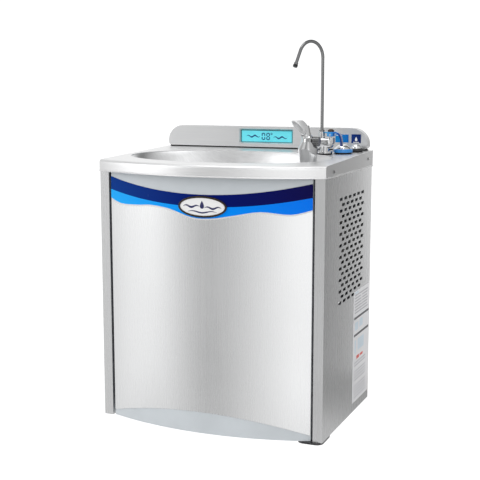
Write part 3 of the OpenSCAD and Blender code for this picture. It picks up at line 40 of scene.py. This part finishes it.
# Sizes in millimetres, as in the CAD. Heights are measured up from the cabinet's bottom
LIFT = 330.0  # the frame's origin stands this far above the bottom
DOOR_HALF, DOOR_CY, DOOR_R = 205.5, 244.18, 589.18  # half the width, the bow's centre and its radius
SKIN_T, FILM_T = 0.8, 0.3
DECAL_R = DOOR_R + SKIN_T + FILM_T
BADGE_FACE = 1.2  # the badge's face stands out this far from the film
SPLASH_FRONT, LENS_FRONT = -20.0, -16.0
SPLASH_LABEL_T = 0.4
STICKER_FACE = 228.9

# How deep each kind of print starts in its carrier, and how far it stands out
BADGE_INK = (-0.1, 0.25)
LENS_INK = (-0.05, 0.15)
LENS_DARK_BARS = (-0.1, 0.6)
STICKER_INK = (-0.03, 0.05)
LABEL_INK = (-0.05, 0.12)
FILM_INK = (-0.05, 0.25)


def mm(x, y, z):
    return Vector((x / 1000, y / 1000, (z - LIFT) / 1000))


def on_door(x, z, out):
    """A point that stands out from the printed film on the bowed door."""
    return mm(x, DOOR_CY - math.sqrt((DECAL_R + out) ** 2 - x * x), z)


# Camera, solved from the cabinet's corners in the photograph
camera_data = bpy.data.cameras.new("camera")
camera_data.lens = 77.16
camera_data.sensor_width = 36
camera = bpy.data.objects.new("camera", camera_data)
camera.location = (0.78567, -2.04599, 0.32999)
camera.rotation_euler = (math.radians(81.226), 0, math.radians(22.547))
scene.collection.objects.link(camera)
scene.camera = camera
scene.view_settings.view_transform = "Standard"


# Materials
class Shade:
    """A node material with one Principled shader, and short names for the nodes that vary it."""

    def __init__(self, name, color, metallic=0.0, rough=0.5, **sockets):
        self.mat = bpy.data.materials.new(name)
        self.mat.use_nodes = True
        self.tree = self.mat.node_tree
        self.bsdf = self.tree.nodes["Principled BSDF"]
        self.set("Base Color", (*color, 1))
        self.set("Metallic", metallic)
        self.set("Roughness", rough)
        for key, value in sockets.items():
            self.set(key.replace("_", " "), value)
        self.coords = self.tree.nodes.new("ShaderNodeTexCoord").outputs["Object"]
        self.normal = None

    def set(self, socket, value):
        self.bsdf.inputs[socket].default_value = value

    def link(self, a, b):
        self.tree.links.new(a, b)

    def math(self, kind, a, b):
        node = self.tree.nodes.new("ShaderNodeMath")
        node.operation = kind
        for socket, value in zip(node.inputs, (a, b)):
            if isinstance(value, (int, float)):
                socket.default_value = value
            else:
                self.link(value, socket)
        return node.outputs[0]

    def axis(self, letter):
        node = self.tree.nodes.new("ShaderNodeSeparateXYZ")
        self.link(self.coords, node.inputs[0])
        return node.outputs[letter]

    def noise(self, scale, stretch=(1, 1, 1), detail=3.0, rough=0.5, offset=(0, 0, 0)):
        mapping = self.tree.nodes.new("ShaderNodeMapping")
        mapping.inputs["Scale"].default_value = stretch
        mapping.inputs["Location"].default_value = offset
        self.link(self.coords, mapping.inputs["Vector"])
        node = self.tree.nodes.new("ShaderNodeTexNoise")
        node.inputs["Scale"].default_value = scale
        node.inputs["Detail"].default_value = detail
        node.inputs["Roughness"].default_value = rough
        self.link(mapping.outputs[0], node.inputs["Vector"])
        return node.outputs["Fac"]

    def cells(self, scale, output="Color", stretch=(1, 1, 1)):
        mapping = self.tree.nodes.new("ShaderNodeMapping")
        mapping.inputs["Scale"].default_value = stretch
        self.link(self.coords, mapping.inputs["Vector"])
        node = self.tree.nodes.new("ShaderNodeTexVoronoi")
        node.inputs["Scale"].default_value = scale
        self.link(mapping.outputs[0], node.inputs["Vector"])
        return node.outputs[output]

    def spread(self, value, lo, hi, out_lo, out_hi):
        node = self.tree.nodes.new("ShaderNodeMapRange")
        self.link(value, node.inputs["Value"])
        for key, number in (("From Min", lo), ("From Max", hi), ("To Min", out_lo), ("To Max", out_hi)):
            node.inputs[key].default_value = number
        return node.outputs[0]

    def ramp(self, value, stops):
        node = self.tree.nodes.new("ShaderNodeValToRGB")
        ramp = node.color_ramp
        while len(ramp.elements) < len(stops):
            ramp.elements.new(0.5)
        for element, (place, color) in zip(ramp.elements, stops):
            element.position = place
            element.color = (*color, 1)
        self.link(value, node.inputs[0])
        return node.outputs[0]

    def roughness(self, value, lo, hi):
        self.link(self.spread(value, 0.3, 0.7, lo, hi), self.bsdf.inputs["Roughness"])

    def paint(self, value, stops):
        """The colour follows value through the stops."""
        self.link(self.ramp(value, stops), self.bsdf.inputs["Base Color"])

    def tone(self, value, color, swing):
        """The colour varies by plus and minus swing with value."""
        low = tuple(c * (1 - swing) for c in color)
        high = tuple(min(1, c * (1 + swing)) for c in color)
        self.paint(value, [(0.3, low), (0.7, high)])

    def bump(self, value, strength, distance):
        node = self.tree.nodes.new("ShaderNodeBump")
        node.inputs["Strength"].default_value = strength
        node.inputs["Distance"].default_value = distance
        self.link(value, node.inputs["Height"])
        if self.normal is not None:
            self.link(self.normal, node.inputs["Normal"])
        self.normal = node.outputs[0]
        self.link(self.normal, self.bsdf.inputs["Normal"])

    def soften(self, radius):
        """Rounds the look of hard edges."""
        node = self.tree.nodes.new("ShaderNodeBevel")
        node.samples = 4
        node.inputs["Radius"].default_value = radius
        self.normal = node.outputs[0]
        self.link(self.normal, self.bsdf.inputs["Normal"])


SMUDGE = 0.05  # how much the gloss of brushed steel varies


def steel(name, color, rough, stretch, edge=0.0008, swing=0.05, grain=0.35):
    """Brushed stainless steel: grain along one axis, and faint smudges from hands and wiping."""
    s = Shade(name, color, 1.0, rough)
    s.soften(edge)
    streaks = s.noise(1.0, stretch, 4.0, 0.65)
    patches = s.noise(7.0, (1, 1, 1), 3.0, 0.5, (3, 1, 2))
    wear = s.math("ADD", s.math("MULTIPLY", streaks, 0.6), s.math("MULTIPLY", patches, 0.4))
    s.tone(streaks, color, swing)
    s.roughness(wear, rough - SMUDGE, rough + SMUDGE)
    s.bump(streaks, grain, 0.00004)
    return s


def plastic(name, color, rough, pits=900.0, bump=0.15, swing=0.04, coat=0.0, edge=0.0004, **sockets):
    """Moulded plastic or paint: a fine skin texture and slow changes in gloss."""
    s = Shade(name, color, 0.0, rough, Coat_Weight=coat, **sockets)
    s.soften(edge)
    skin = s.noise(pits, (1, 1, 1), 2.0, 0.5)
    slow = s.noise(18.0, (1, 1, 1), 3.0, 0.5)
    s.tone(slow, color, swing)
    s.roughness(slow, max(0.03, rough - 0.05), rough + 0.06)
    s.bump(skin, bump, 0.00006)
    return s


def plating(name, color, rough, swing, gloss):
    """Chrome plate: slow changes of tone and gloss, and a faint waviness."""
    s = Shade(name, color, 1.0, rough)
    s.soften(0.0005)
    spots = s.noise(60.0, (1, 1, 1), 5.0, 0.6)
    s.tone(spots, color, swing)
    s.roughness(spots, *gloss)
    s.bump(s.noise(35.0), 0.05, 0.0001)
    return s


def film(name, stops):
    """Glossy printed film in its own colour, with painted light and shade: lighter at the door's left side and darker
    towards its right one.
    """
    s = Shade(name, stops[0][1], 0.0, 0.24, Specular_IOR_Level=0.06)
    reach = DOOR_HALF / 1000
    s.paint(s.spread(s.axis("X"), -reach, reach, 0, 1), stops)
    s.roughness(s.noise(24.0), 0.16, 0.28)
    s.bump(s.noise(500.0), 0.1, 0.00003)
    return s


M = {}
M["brushed_panel"] = steel("brushed_panel", (0.76, 0.765, 0.77), 0.27, (900, 900, 4), swing=0.02, grain=0.12)
M["top_steel"] = steel("top_steel", (0.78, 0.782, 0.785), 0.39, (6, 700, 700), swing=0.035, grain=0.18)
M["bowl_steel"] = steel("bowl_steel", (0.74, 0.745, 0.75), 0.34, (60, 500, 60), grain=0.3, swing=0.06)
M["splash_steel"] = steel("splash_steel", (0.7, 0.705, 0.71), 0.38, (5, 800, 800), swing=0.04)

s = Shade("galvanised", (0.55, 0.57, 0.58), 0.85, 0.45)
s.soften(0.0006)
spangle = s.cells(130.0)
s.tone(spangle, (0.55, 0.57, 0.58), 0.07)
s.roughness(s.cells(130.0, "Color", (1.1, 0.9, 1)), 0.4, 0.5)
s.bump(s.noise(260.0), 0.12, 0.0001)
M["galvanised"] = s

M["grey_paint"] = plastic("grey_paint", (0.6, 0.64, 0.67), 0.36, 420.0, 0.22, coat=0.1)

# Each film's stops run lighter at the door's left and darker at its right: painted light and shade over the print's
# own blue
M["navy_film"] = film("navy_film", [(0.0, (0.0, 0.04, 0.26)), (0.5, (0.0, 0.008, 0.15)), (1.0, (0.001, 0.0, 0.065))])
M["azure_film"] = film("azure_film", [(0.0, (0.02, 0.42, 0.98)), (0.5, (0.0, 0.29, 0.98)), (1.0, (0.0, 0.18, 0.9))])
M["badge_plastic"] = plastic("badge_plastic", (0.9, 0.9, 0.9), 0.2, 700.0, 0.06, 0.015, coat=0.5)

s = Shade("bronze_plastic", (0.05, 0.035, 0.025), 0.55, 0.22, Coat_Weight=0.4)
s.soften(0.0008)
s.paint(s.noise(90.0, (1, 1, 1), 4.0),
        [(0.35, (0.014, 0.011, 0.01)), (0.6, (0.05, 0.028, 0.014)), (0.75, (0.12, 0.065, 0.028))])
s.roughness(s.noise(60.0), 0.16, 0.3)
s.bump(s.noise(700.0), 0.1, 0.00005)
M["bronze_plastic"] = s

s = Shade("display_film", (0.08, 0.72, 0.85), 0.0, 0.14, Emission_Strength=0.16)
s.set("Emission Color", (0.12, 0.85, 0.95, 1))
s.paint(s.noise(16.0, (1, 1, 2)), [(0.3, (0.13, 0.68, 0.8)), (0.7, (0.2, 0.78, 0.88))])
s.roughness(s.noise(30.0), 0.08, 0.18)
s.bump(s.noise(900.0), 0.05, 0.00002)
M["display_film"] = s

s = Shade("circuit_board", (0.03, 0.16, 0.08), 0.0, 0.4)
tracks = s.cells(320.0, "Distance", (1, 1, 3))
s.paint(tracks, [(0.2, (0.02, 0.11, 0.05)), (0.45, (0.03, 0.2, 0.09))])
s.roughness(s.noise(300.0), 0.3, 0.5)
s.bump(tracks, 0.3, 0.0001)
M["circuit_board"] = s

M["label_paper"] = plastic("label_paper", (0.9, 0.9, 0.92), 0.38, 1500.0, 0.1, 0.02, coat=0.15)
M["label_ink"] = plastic("label_ink", (0.11, 0.11, 0.12), 0.5, 1500.0, 0.1, 0.1)
M["label_grey"] = plastic("label_grey", (0.52, 0.52, 0.55), 0.5, 1500.0, 0.1, 0.06)
M["label_red"] = plastic("label_red", (0.78, 0.14, 0.12), 0.5, 1500.0, 0.1, 0.06)
M["label_sky"] = plastic("label_sky", (0.72, 0.82, 0.9), 0.5, 1500.0, 0.1, 0.06)
M["mark_ink"] = plastic("mark_ink", (0.01, 0.012, 0.09), 0.35, 1500.0, 0.1, 0.15)
M["display_ink"] = plastic("display_ink", (0.0, 0.06, 0.2), 0.35, 1500.0, 0.1, 0.1)
M["outline_film"] = plastic("outline_film", (0.72, 0.72, 0.72), 0.3, 800.0, 0.08, 0.02, coat=0.2)

M["chrome"] = plating("chrome", (0.80, 0.81, 0.82), 0.07, 0.03, (0.04, 0.13))
M["faucet_chrome"] = plating("faucet_chrome", (0.58, 0.585, 0.59), 0.08, 0.05, (0.05, 0.14))
M["guard_steel"] = steel("guard_steel", (0.78, 0.785, 0.79), 0.45, (90, 90, 90), 0.0006, 0.03, 0.1)

s = Shade("label_blue", (0.0, 0.19, 0.6), 0.0, 0.25, Specular_IOR_Level=0.3)
s.paint(s.spread(s.axis("X"), 0.156, 0.21, 0, 1),
        [(0.0, (0.0, 0.24, 0.62)), (0.5, (0.0, 0.14, 0.5)), (0.56, (0.0, 0.03, 0.2)), (1.0, (0.0, 0.015, 0.12))])
s.roughness(s.noise(60.0), 0.2, 0.32)
s.bump(s.noise(1200.0), 0.1, 0.00003)
M["label_blue"] = s

# A far darker copy of the chrome for the gooseneck, the lip's screws and the bubbler's button: painted shade in the
# plating's colour
s = Shade("tube_chrome", (0.23, 0.233, 0.236), 1.0, 0.16)
spots = s.noise(12.0, (1, 1, 1), 2.0, 0.5)
s.tone(spots, (0.23, 0.233, 0.236), 0.02)
s.roughness(spots, 0.16, 0.22)
M["tube_chrome"] = s

s = Shade("black_rubber", (0.02, 0.02, 0.022), 0.0, 0.6, Specular_IOR_Level=0.3)
s.soften(0.0004)
s.tone(s.noise(60.0), (0.02, 0.02, 0.022), 0.25)
s.roughness(s.noise(90.0), 0.5, 0.72)
s.bump(s.noise(1400.0), 0.3, 0.0001)
M["black_rubber"] = s

s = Shade("brass_nut", (0.76, 0.58, 0.3), 1.0, 0.28)
s.soften(0.0006)
rings = s.noise(1.0, (300, 300, 4000), 2.0)
s.tone(s.noise(80.0), (0.76, 0.58, 0.3), 0.1)
s.roughness(rings, 0.22, 0.36)
s.bump(rings, 0.15, 0.00005)
M["brass_nut"] = s

M["blue_plastic"] = plastic("blue_plastic", (0.03, 0.27, 0.72), 0.22, 900.0, 0.08, 0.05, coat=0.4)

# The handle's own light blue at its tip turns near black towards its bent-down tail: painted shade under the tail
s = Shade("lever_blue", (0.03, 0.3, 0.75), 0.0, 0.22, Coat_Weight=0.4)
s.soften(0.0006)
s.paint(s.spread(s.axis("X"), 0.162, 0.2, 0, 1),
        [(0.0, (0.10, 0.42, 0.72)), (0.45, (0.02, 0.25, 0.75)), (0.75, (0.005, 0.05, 0.3)), (1.0, (0.0, 0.02, 0.12))])
s.roughness(s.noise(40.0), 0.16, 0.28)
s.bump(s.noise(900.0), 0.1, 0.00005)
M["lever_blue"] = s

M["black_plastic"] = plastic("black_plastic", (0.03, 0.03, 0.033), 0.42, 1100.0, 0.3, 0.15)
M["white_plastic"] = plastic("white_plastic", (0.78, 0.78, 0.76), 0.35, 600.0, 0.12, 0.03)
M["black_enamel"] = plastic("black_enamel", (0.02, 0.02, 0.023), 0.25, 200.0, 0.2, 0.2, coat=0.5)

# The condenser's fins are near black: painted shade, for the dark seen through the cabinet's slots
s = Shade("copper_fins", (0.1, 0.1, 0.1), 0.3, 0.5)
fins = s.tree.nodes.new("ShaderNodeTexWave")
fins.inputs["Scale"].default_value = 120.0
fins.inputs["Distortion"].default_value = 0.4
fins.bands_direction = "Z"
s.link(s.coords, fins.inputs["Vector"])
s.tone(fins.outputs["Fac"], (0.09, 0.088, 0.085), 0.4)
s.roughness(s.noise(50.0), 0.3, 0.48)
s.bump(fins.outputs["Fac"], 0.6, 0.0004)
M["copper_fins"] = s

s = Shade("tank_jacket", (0.04, 0.045, 0.05), 0.0, 0.8)
foam = s.cells(420.0, "Distance")
s.tone(s.noise(20.0), (0.04, 0.045, 0.05), 0.25)
s.roughness(s.noise(120.0), 0.7, 0.9)
s.bump(foam, 0.5, 0.0004)
M["tank_jacket"] = s

M["tube_plastic"] = plastic("tube_plastic", (0.06, 0.2, 0.55), 0.3, 300.0, 0.12, 0.06, Subsurface_Weight=0.15)

s = Shade("zinc", (0.3, 0.3, 0.29), 0.7, 0.36)
s.soften(0.0006)
haze = s.noise(14.0, (1, 1, 1), 5.0)
s.paint(haze, [(0.3, (0.3, 0.31, 0.31)), (0.7, (0.36, 0.35, 0.31))])
s.roughness(haze, 0.26, 0.4)
s.bump(s.noise(300.0), 0.1, 0.00008)
M["zinc"] = s

M["nylon"] = plastic("nylon", (0.8, 0.79, 0.74), 0.4, 700.0, 0.12, 0.03, Subsurface_Weight=0.1)

# Each CAD node takes the finish of its material slot, or one of its own
slot_of = {p["node"]: p["material_slot"] for p in frame["record"]["subparts"]}
special = {"gooseneck": "tube_chrome", "lip_screws": "tube_chrome", "bubbler_button": "tube_chrome",
           "faucet_body": "faucet_chrome", "bubbler_body": "faucet_chrome", "mouth_guard": "guard_steel",
           "faucet_lever": "lever_blue", "splash_labels": "label_blue", "backsplash": "splash_steel"}
WELD_GAP = 0.000002
SHARP_ANGLE = math.radians(32)
for name, node in nodes.items():
    node.data.materials.clear()
    node.data.materials.append(M[special.get(name, slot_of[name])].mat)
    # Smooth shading, but for the sharp edges
    if "custom_normal" in node.data.attributes:
        node.data.attributes.remove(node.data.attributes["custom_normal"])
    node.data.polygons.foreach_set("use_smooth", [True] * len(node.data.polygons))
    weld = node.modifiers.new("weld", "WELD")
    weld.merge_threshold = WELD_GAP
    split = node.modifiers.new("split", "EDGE_SPLIT")
    split.split_angle = SHARP_ANGLE


# Pieces made here
def piece(name, material, body, parts, edge=0.0):
    """One object from a list of (points, faces) parts."""
    verts, faces = [], []
    for points, polys in parts:
        start = len(verts)
        verts += [tuple(p) for p in points]
        faces += [[start + i for i in f] for f in polys]
    mesh = bpy.data.meshes.new(name)
    mesh.from_pydata(verts, [], faces)
    bm = bmesh.new()
    bm.from_mesh(mesh)
    bmesh.ops.recalc_face_normals(bm, faces=bm.faces)
    bm.to_mesh(mesh)
    bm.free()
    obj = bpy.data.objects.new(name, mesh)
    scene.collection.objects.link(obj)
    obj.data.materials.append(M[material].mat)
    if edge:
        bevel = obj.modifiers.new("edge", "BEVEL")
        bevel.width = edge
        bevel.segments = 2
        bevel.limit_method = "ANGLE"
    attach(obj, body)
    return obj


def plate(outline, place, low, high):
    """A thin plate: outline is flat points, and place(u, v, out) puts one in space."""
    n = len(outline)
    points = [place(u, v, low) for u, v in outline] + [place(u, v, high) for u, v in outline]
    faces = [list(range(n - 1, -1, -1)), list(range(n, 2 * n))]
    faces += [[i, (i + 1) % n, n + (i + 1) % n, n + i] for i in range(n)]
    return points, faces


def band(upper, lower, place, low, high):
    """A thin strip between two lines of as many flat points."""
    n = len(upper)
    rows = [[place(*p, low) for p in upper], [place(*p, low) for p in lower],
            [place(*p, high) for p in lower], [place(*p, high) for p in upper]]
    points = [p for row in rows for p in row]
    faces = [[r * n + i, r * n + i + 1, (r + 1) % 4 * n + i + 1, (r + 1) % 4 * n + i]
             for r in range(4) for i in range(n - 1)]
    faces += [[0, n, 2 * n, 3 * n], [4 * n - 1, 3 * n - 1, 2 * n - 1, n - 1]]
    return points, faces


def smooth(points, steps):
    """Catmull-Rom points through the given ones."""
    out = []
    last = len(points) - 1
    for i in range(last):
        a, b, c, d = (points[max(0, min(last, i + k))] for k in (-1, 0, 1, 2))
        for s in range(steps):
            t = s / steps
            out.append(tuple(
                0.5 * (2 * b[k] + (c[k] - a[k]) * t + (2 * a[k] - 5 * b[k] + 4 * c[k] - d[k]) * t * t
                       + (3 * b[k] - a[k] - 3 * c[k] + d[k]) * t ** 3) for k in (0, 1)))
    return out + [tuple(points[-1])]


def rect(u0, v0, u1, v1):
    return [(u0, v0), (u1, v0), (u1, v1), (u0, v1)]


def drop(u, v, size, steps=20):
    """A water drop's outline, point up."""
    out = []
    for i in range(steps):
        a = 2 * math.pi * i / steps
        squeeze = math.sin(a / 2) ** 1.5
        out.append((u + size * 0.8 * math.sin(a) * squeeze, v + size * math.cos(a)))
    return out


def ripple(u0, u1, v, height, waves, thick, steps=36):
    """A wavy line that tapers to its ends, as two edges."""
    upper, lower = [], []
    for i in range(steps + 1):
        t = i / steps
        mid = v + height * math.sin(2 * math.pi * waves * t)
        half = thick * (0.15 + 0.85 * math.sin(math.pi * t)) / 2
        upper.append((u0 + (u1 - u0) * t, mid + half))
        lower.append((u0 + (u1 - u0) * t, mid - half))
    return upper, lower


def on_badge(u, v, out):
    return on_door(u, v, BADGE_FACE + out)


def on_lens(u, v, out):
    return mm(u, LENS_FRONT - out, v)


def on_splash(u, v, out):
    return mm(u, SPLASH_FRONT - SPLASH_LABEL_T - out, v)


def on_side(u, v, out):
    return mm(STICKER_FACE + out, u, v)


# The rubber tip of the gooseneck's nozzle
tip_end, tip_way = mm(119.82, -169.4, 686.56), Vector((-0.1928, -0.3581, -0.9135)).normalized()
tip_u = tip_way.orthogonal().normalized()
tip_v = tip_way.cross(tip_u)


def tube(outline, steps=28):
    """A ring from (radius, height) points, round the nozzle's axis and back from its end."""
    rows = len(outline)
    points = [tip_end - tip_way * (h / 1000) + (tip_u * math.cos(a) + tip_v * math.sin(a)) * (r / 1000)
              for a in (2 * math.pi * i / steps for i in range(steps)) for r, h in outline]
    faces = [[i * rows + k, i * rows + (k + 1) % rows,
              (i + 1) % steps * rows + (k + 1) % rows, (i + 1) % steps * rows + k]
             for i in range(steps) for k in range(rows)]
    return points, faces


tip = piece("nozzle_tip", "black_rubber", "spout",
            [tube([(4.0, 5.0), (4.35, 5.0), (4.5, 4.6), (4.5, 0.5), (4.2, 0.05), (4.0, 0.05)])])
tip.data.polygons.foreach_set("use_smooth", [True] * len(tip.data.polygons))

# The badge's motif: a drop between two ripples, with a third one below
parts = [plate(drop(5, 437.0, 7.5), on_badge, *BADGE_INK)]
for u0, u1, v, height, thick in ((-33, 0, 433.5, 1.7, 3.8), (10, 43, 431.5, 1.7, 3.6), (-24, 34, 423.5, 1.5, 2.8)):
    parts.append(band(*ripple(u0, u1, v, height, 1.5, thick), on_badge, *BADGE_INK))
piece("badge_motif", "mark_ink", "door", parts)

# The display's figures: two digits of seven bars, a degree ring and a ripple on each side
SEGMENTS = {"0": "abcdef", "8": "abcdefg"}


def digit(u, v, w, h, t, figure):
    """A figure's bars, w wide, h high and t thick, with its lower left corner at u and v."""
    half, mid = h / 2, v + h / 2
    bars = {"a": rect(u + t, v + h - t, u + w - t, v + h), "g": rect(u + t, mid - t / 2, u + w - t, mid + t / 2),
            "d": rect(u + t, v, u + w - t, v + t), "f": rect(u, mid + t / 2, u + t, v + h - t / 2),
            "b": rect(u + w - t, mid + t / 2, u + w, v + h - t / 2), "e": rect(u, v + t / 2, u + t, mid - t / 2),
            "c": rect(u + w - t, v + t / 2, u + w, mid - t / 2)}
    return [bars[k] for k in SEGMENTS[figure]]


parts = []
for u, figure in ((-7.5, "0"), (3.0, "8")):
    parts += [plate(bar, on_lens, *LENS_INK) for bar in digit(u, 537.5, 8, 15, 2.0, figure)]
turns = [i * math.pi / 8 for i in range(17)]
ring_out = [(14.6 + 2.2 * math.cos(a), 550.6 + 2.2 * math.sin(a)) for a in turns]
ring_in = [(14.6 + 1.0 * math.cos(a), 550.6 + 1.0 * math.sin(a)) for a in turns]
parts.append(band(ring_out, ring_in, on_lens, *LENS_INK))
parts.append(band(*ripple(-42, -11, 545.0, 1.7, 2, 3.4), on_lens, *LENS_INK))
parts.append(band(*ripple(19, 50, 543.0, 1.7, 2, 3.4), on_lens, *LENS_INK))
piece("display_figures", "display_ink", "cabinet", parts)

# Black bars round the display's window, wider at the left and top than at the right and bottom
frame_u, frame_v, frame_w, frame_h = 3.3, 545.5, 57.5, 12.5
bars = [rect(frame_u - frame_w, frame_v - frame_h, frame_u - frame_w + 1.1, frame_v + frame_h),
        rect(frame_u + frame_w - 0.8, frame_v - frame_h, frame_u + frame_w, frame_v + frame_h),
        rect(frame_u - frame_w + 1.1, frame_v + frame_h - 1.1, frame_u + frame_w - 0.8, frame_v + frame_h),
        rect(frame_u - frame_w + 1.1, frame_v - frame_h, frame_u + frame_w - 0.8, frame_v - frame_h + 0.6)]
piece("display_dark_bars", "black_rubber", "cabinet",
      [plate(bar, on_lens, *LENS_DARK_BARS) for bar in bars], 0.00015)


# The sticker's rows: plain bars and rules, with no words
def sticker_bar(u0, v0, u1, v1):
    return plate(rect(u0, v0, u1, v1), on_side, *STICKER_INK)


RULE_H, ROW_H, LOW_ROW_H = 4.6, 2.4, 2.2
rules = [sticker_bar(-112, v, -6, v + RULE_H) for v in (189.0, 154.0)]
rows = []
for v in range(237, 200, -6):
    rows.append(sticker_bar(-108, v, -66 + (v * 7) % 11, v + ROW_H))
    rows.append(sticker_bar(-56, v, -20 + (v * 5) % 9, v + ROW_H))
for v in (98, 92, 80, 74, 68, 62, 50, 44, 38, 32, 26):
    rows.append(sticker_bar(-106, v, -26 + (v * 7) % 14, v + LOW_ROW_H))
panels = [sticker_bar(*corners) for corners in (
    (-106, 166, -82, 182), (-74, 168, -50, 184), (-106, 118, -96, 146), (-84, 122, -40, 146), (-108, 241, -84, 245))]
reds = [sticker_bar(-92, 105, -72, 112), sticker_bar(-66, 106, -46, 111)]
piece("sticker_rules", "label_ink", "cabinet", rules)
piece("sticker_rows", "label_grey", "cabinet", rows)
piece("sticker_panels", "label_sky", "cabinet", panels)
piece("sticker_red", "label_red", "cabinet", reds)

# A white drop and rules on the two labels of the backsplash
outlines = [drop(200, 544, 4.6), rect(194, 536.6, 206, 538.0), rect(158, 550.0, 170, 551.2)]
parts = [plate(outline, on_splash, *LABEL_INK) for outline in outlines]
piece("label_drops", "badge_plastic", "cabinet", parts)

# The pale outline under the wave, which follows the stripe's lower edge in the CAD:
# shares of the door's half width, and how far the edge lies below the door's top there
DOOR_TOP = 486.5
EDGE_PLACES = [-1, -.87, -.67, -.51, -.31, -.08, .11, .32, .56, .82, 1]
EDGE_DROPS = [49, 58, 58, 56, 60.5, 74, 74.5, 67.5, 59.5, 63.5, 54.5]
EDGE_STEPS = 8
EDGE_MARGIN = 0.4
OUTLINE_TOP, OUTLINE_FOOT = 0.4, 2.6
reach = DOOR_HALF - EDGE_MARGIN
edge = smooth([(DOOR_HALF * p, DOOR_TOP - d) for p, d in zip(EDGE_PLACES, EDGE_DROPS)], EDGE_STEPS)
edge = [(max(-reach, min(reach, x)), z) for x, z in edge]
upper = [(x, z - OUTLINE_TOP) for x, z in edge]
lower = [(x, z - OUTLINE_FOOT) for x, z in edge]
piece("wave_outline", "outline_film", "door",
      [band(upper, lower, lambda u, v, out: on_door(u, v, out - FILM_T), *FILM_INK)])


# Light, floor and background
def softbox(name, place, target, size, power):
    """A rectangular lamp at place that faces target."""
    data = bpy.data.lights.new(name, "AREA")
    data.shape = "RECTANGLE"
    data.size, data.size_y = size
    data.energy = power
    light = bpy.data.objects.new(name, data)
    light.location = place
    light.rotation_euler = (Vector(target) - Vector(place)).to_track_quat("-Z", "Y").to_euler()
    scene.collection.objects.link(light)
    return light


softbox("left_box", (-1.9, -1.7, 0.9), (0, -0.2, 0), (1.0, 1.6), 9)
softbox("right_box", (0.9, -2.6, 1.3), (0, -0.2, 0), (0.9, 0.9), 2.5)
rear = softbox("rear_strip", (0.31, 0.32, 0.05), (0.235, -0.05, 0.0), (0.07, 0.9), 0.12)
rear.visible_camera = False
softbox("top_box", (-0.1, -0.5, 1.9), (0, -0.2, 0), (1.4, 1.0), 7.5)

world = bpy.data.worlds.new("world")
scene.world = world
world.use_nodes = True
tree = world.node_tree
background = tree.nodes["Background"]
background.inputs["Color"].default_value = (1, 1, 1, 1)


def wnode(kind, **props):
    node = tree.nodes.new(kind)
    for key, value in props.items():
        setattr(node, key, value)
    return node


# A studio round the object: white behind it and at both front corners, greyer between and above.
# The camera itself sees white everywhere
direction = wnode("ShaderNodeTexCoord").outputs["Generated"]
split = wnode("ShaderNodeSeparateXYZ")
tree.links.new(direction, split.inputs[0])
back = wnode("ShaderNodeMath", operation="MULTIPLY")
tree.links.new(split.outputs["Y"], back.inputs[0])
back.inputs[1].default_value = -1
turn = wnode("ShaderNodeMath", operation="ARCTAN2")
tree.links.new(split.outputs["X"], turn.inputs[0])
tree.links.new(back.outputs[0], turn.inputs[1])
place = wnode("ShaderNodeMapRange")
place.inputs["From Min"].default_value = -math.pi
place.inputs["From Max"].default_value = math.pi
tree.links.new(turn.outputs[0], place.inputs["Value"])
round_ramp = wnode("ShaderNodeValToRGB")
# Degrees round from the front, with the right side at 90, and the light's level there
STOPS = [(-180, 1.15), (-150, 1.15), (-125, 1.0), (-85, 0.6), (-64, 1.05), (-46, 1.2), (-22, 0.42), (4, 0.95),
         (20, 1.33), (45, 0.8), (90, 0.75), (125, 0.5), (150, 0.07), (165, 0.3), (180, 1.15)]
while len(round_ramp.color_ramp.elements) < len(STOPS):
    round_ramp.color_ramp.elements.new(0.5)
for element, (angle, level) in zip(round_ramp.color_ramp.elements, STOPS):
    element.position = (angle + 180) / 360
    element.color = (level, level, level, 1)
tree.links.new(place.outputs[0], round_ramp.inputs[0])
rise = wnode("ShaderNodeMapRange")
rise.inputs["From Min"].default_value = 0.25
rise.inputs["From Max"].default_value = 0.95
rise.inputs["To Min"].default_value = 1.0
rise.inputs["To Max"].default_value = 0.8
tree.links.new(split.outputs["Z"], rise.inputs["Value"])
level = wnode("ShaderNodeMath", operation="MULTIPLY")
tree.links.new(round_ramp.outputs[0], level.inputs[0])
tree.links.new(rise.outputs[0], level.inputs[1])
camera_ray = wnode("ShaderNodeLightPath").outputs["Is Camera Ray"]
shown = wnode("ShaderNodeMath", operation="MAXIMUM")
tree.links.new(level.outputs[0], shown.inputs[0])
tree.links.new(camera_ray, shown.inputs[1])
tree.links.new(shown.outputs[0], background.inputs["Strength"])

# The floor lies where a wall fountain's would, 0.82 m below the cabinet's bottom. It glows a little for the
# camera only, so that it shows white round the shadow
FLOOR_Z, FLOOR_HALF, FLOOR_GLOW = -1.15, 2.2, 0.5
floor_mesh = bpy.data.meshes.new("floor")
floor_corners = [(x * FLOOR_HALF, y * FLOOR_HALF, FLOOR_Z) for x, y in ((-1, -1), (1, -1), (1, 1), (-1, 1))]
floor_mesh.from_pydata(floor_corners, [], [(0, 1, 2, 3)])
floor = bpy.data.objects.new("floor", floor_mesh)
scene.collection.objects.link(floor)
floor_shade = Shade("floor_pale", (0.82, 0.82, 0.82), 0.0, 0.9)
floor_shade.tone(floor_shade.noise(3.0), (0.82, 0.82, 0.82), 0.01)
path = floor_shade.tree.nodes.new("ShaderNodeLightPath")
floor_shade.set("Emission Color", (1, 1, 1, 1))
glow = floor_shade.math("MULTIPLY", path.outputs["Is Camera Ray"], FLOOR_GLOW)
floor_shade.link(glow, floor_shade.bsdf.inputs["Emission Strength"])
floor.data.materials.append(floor_shade.mat)
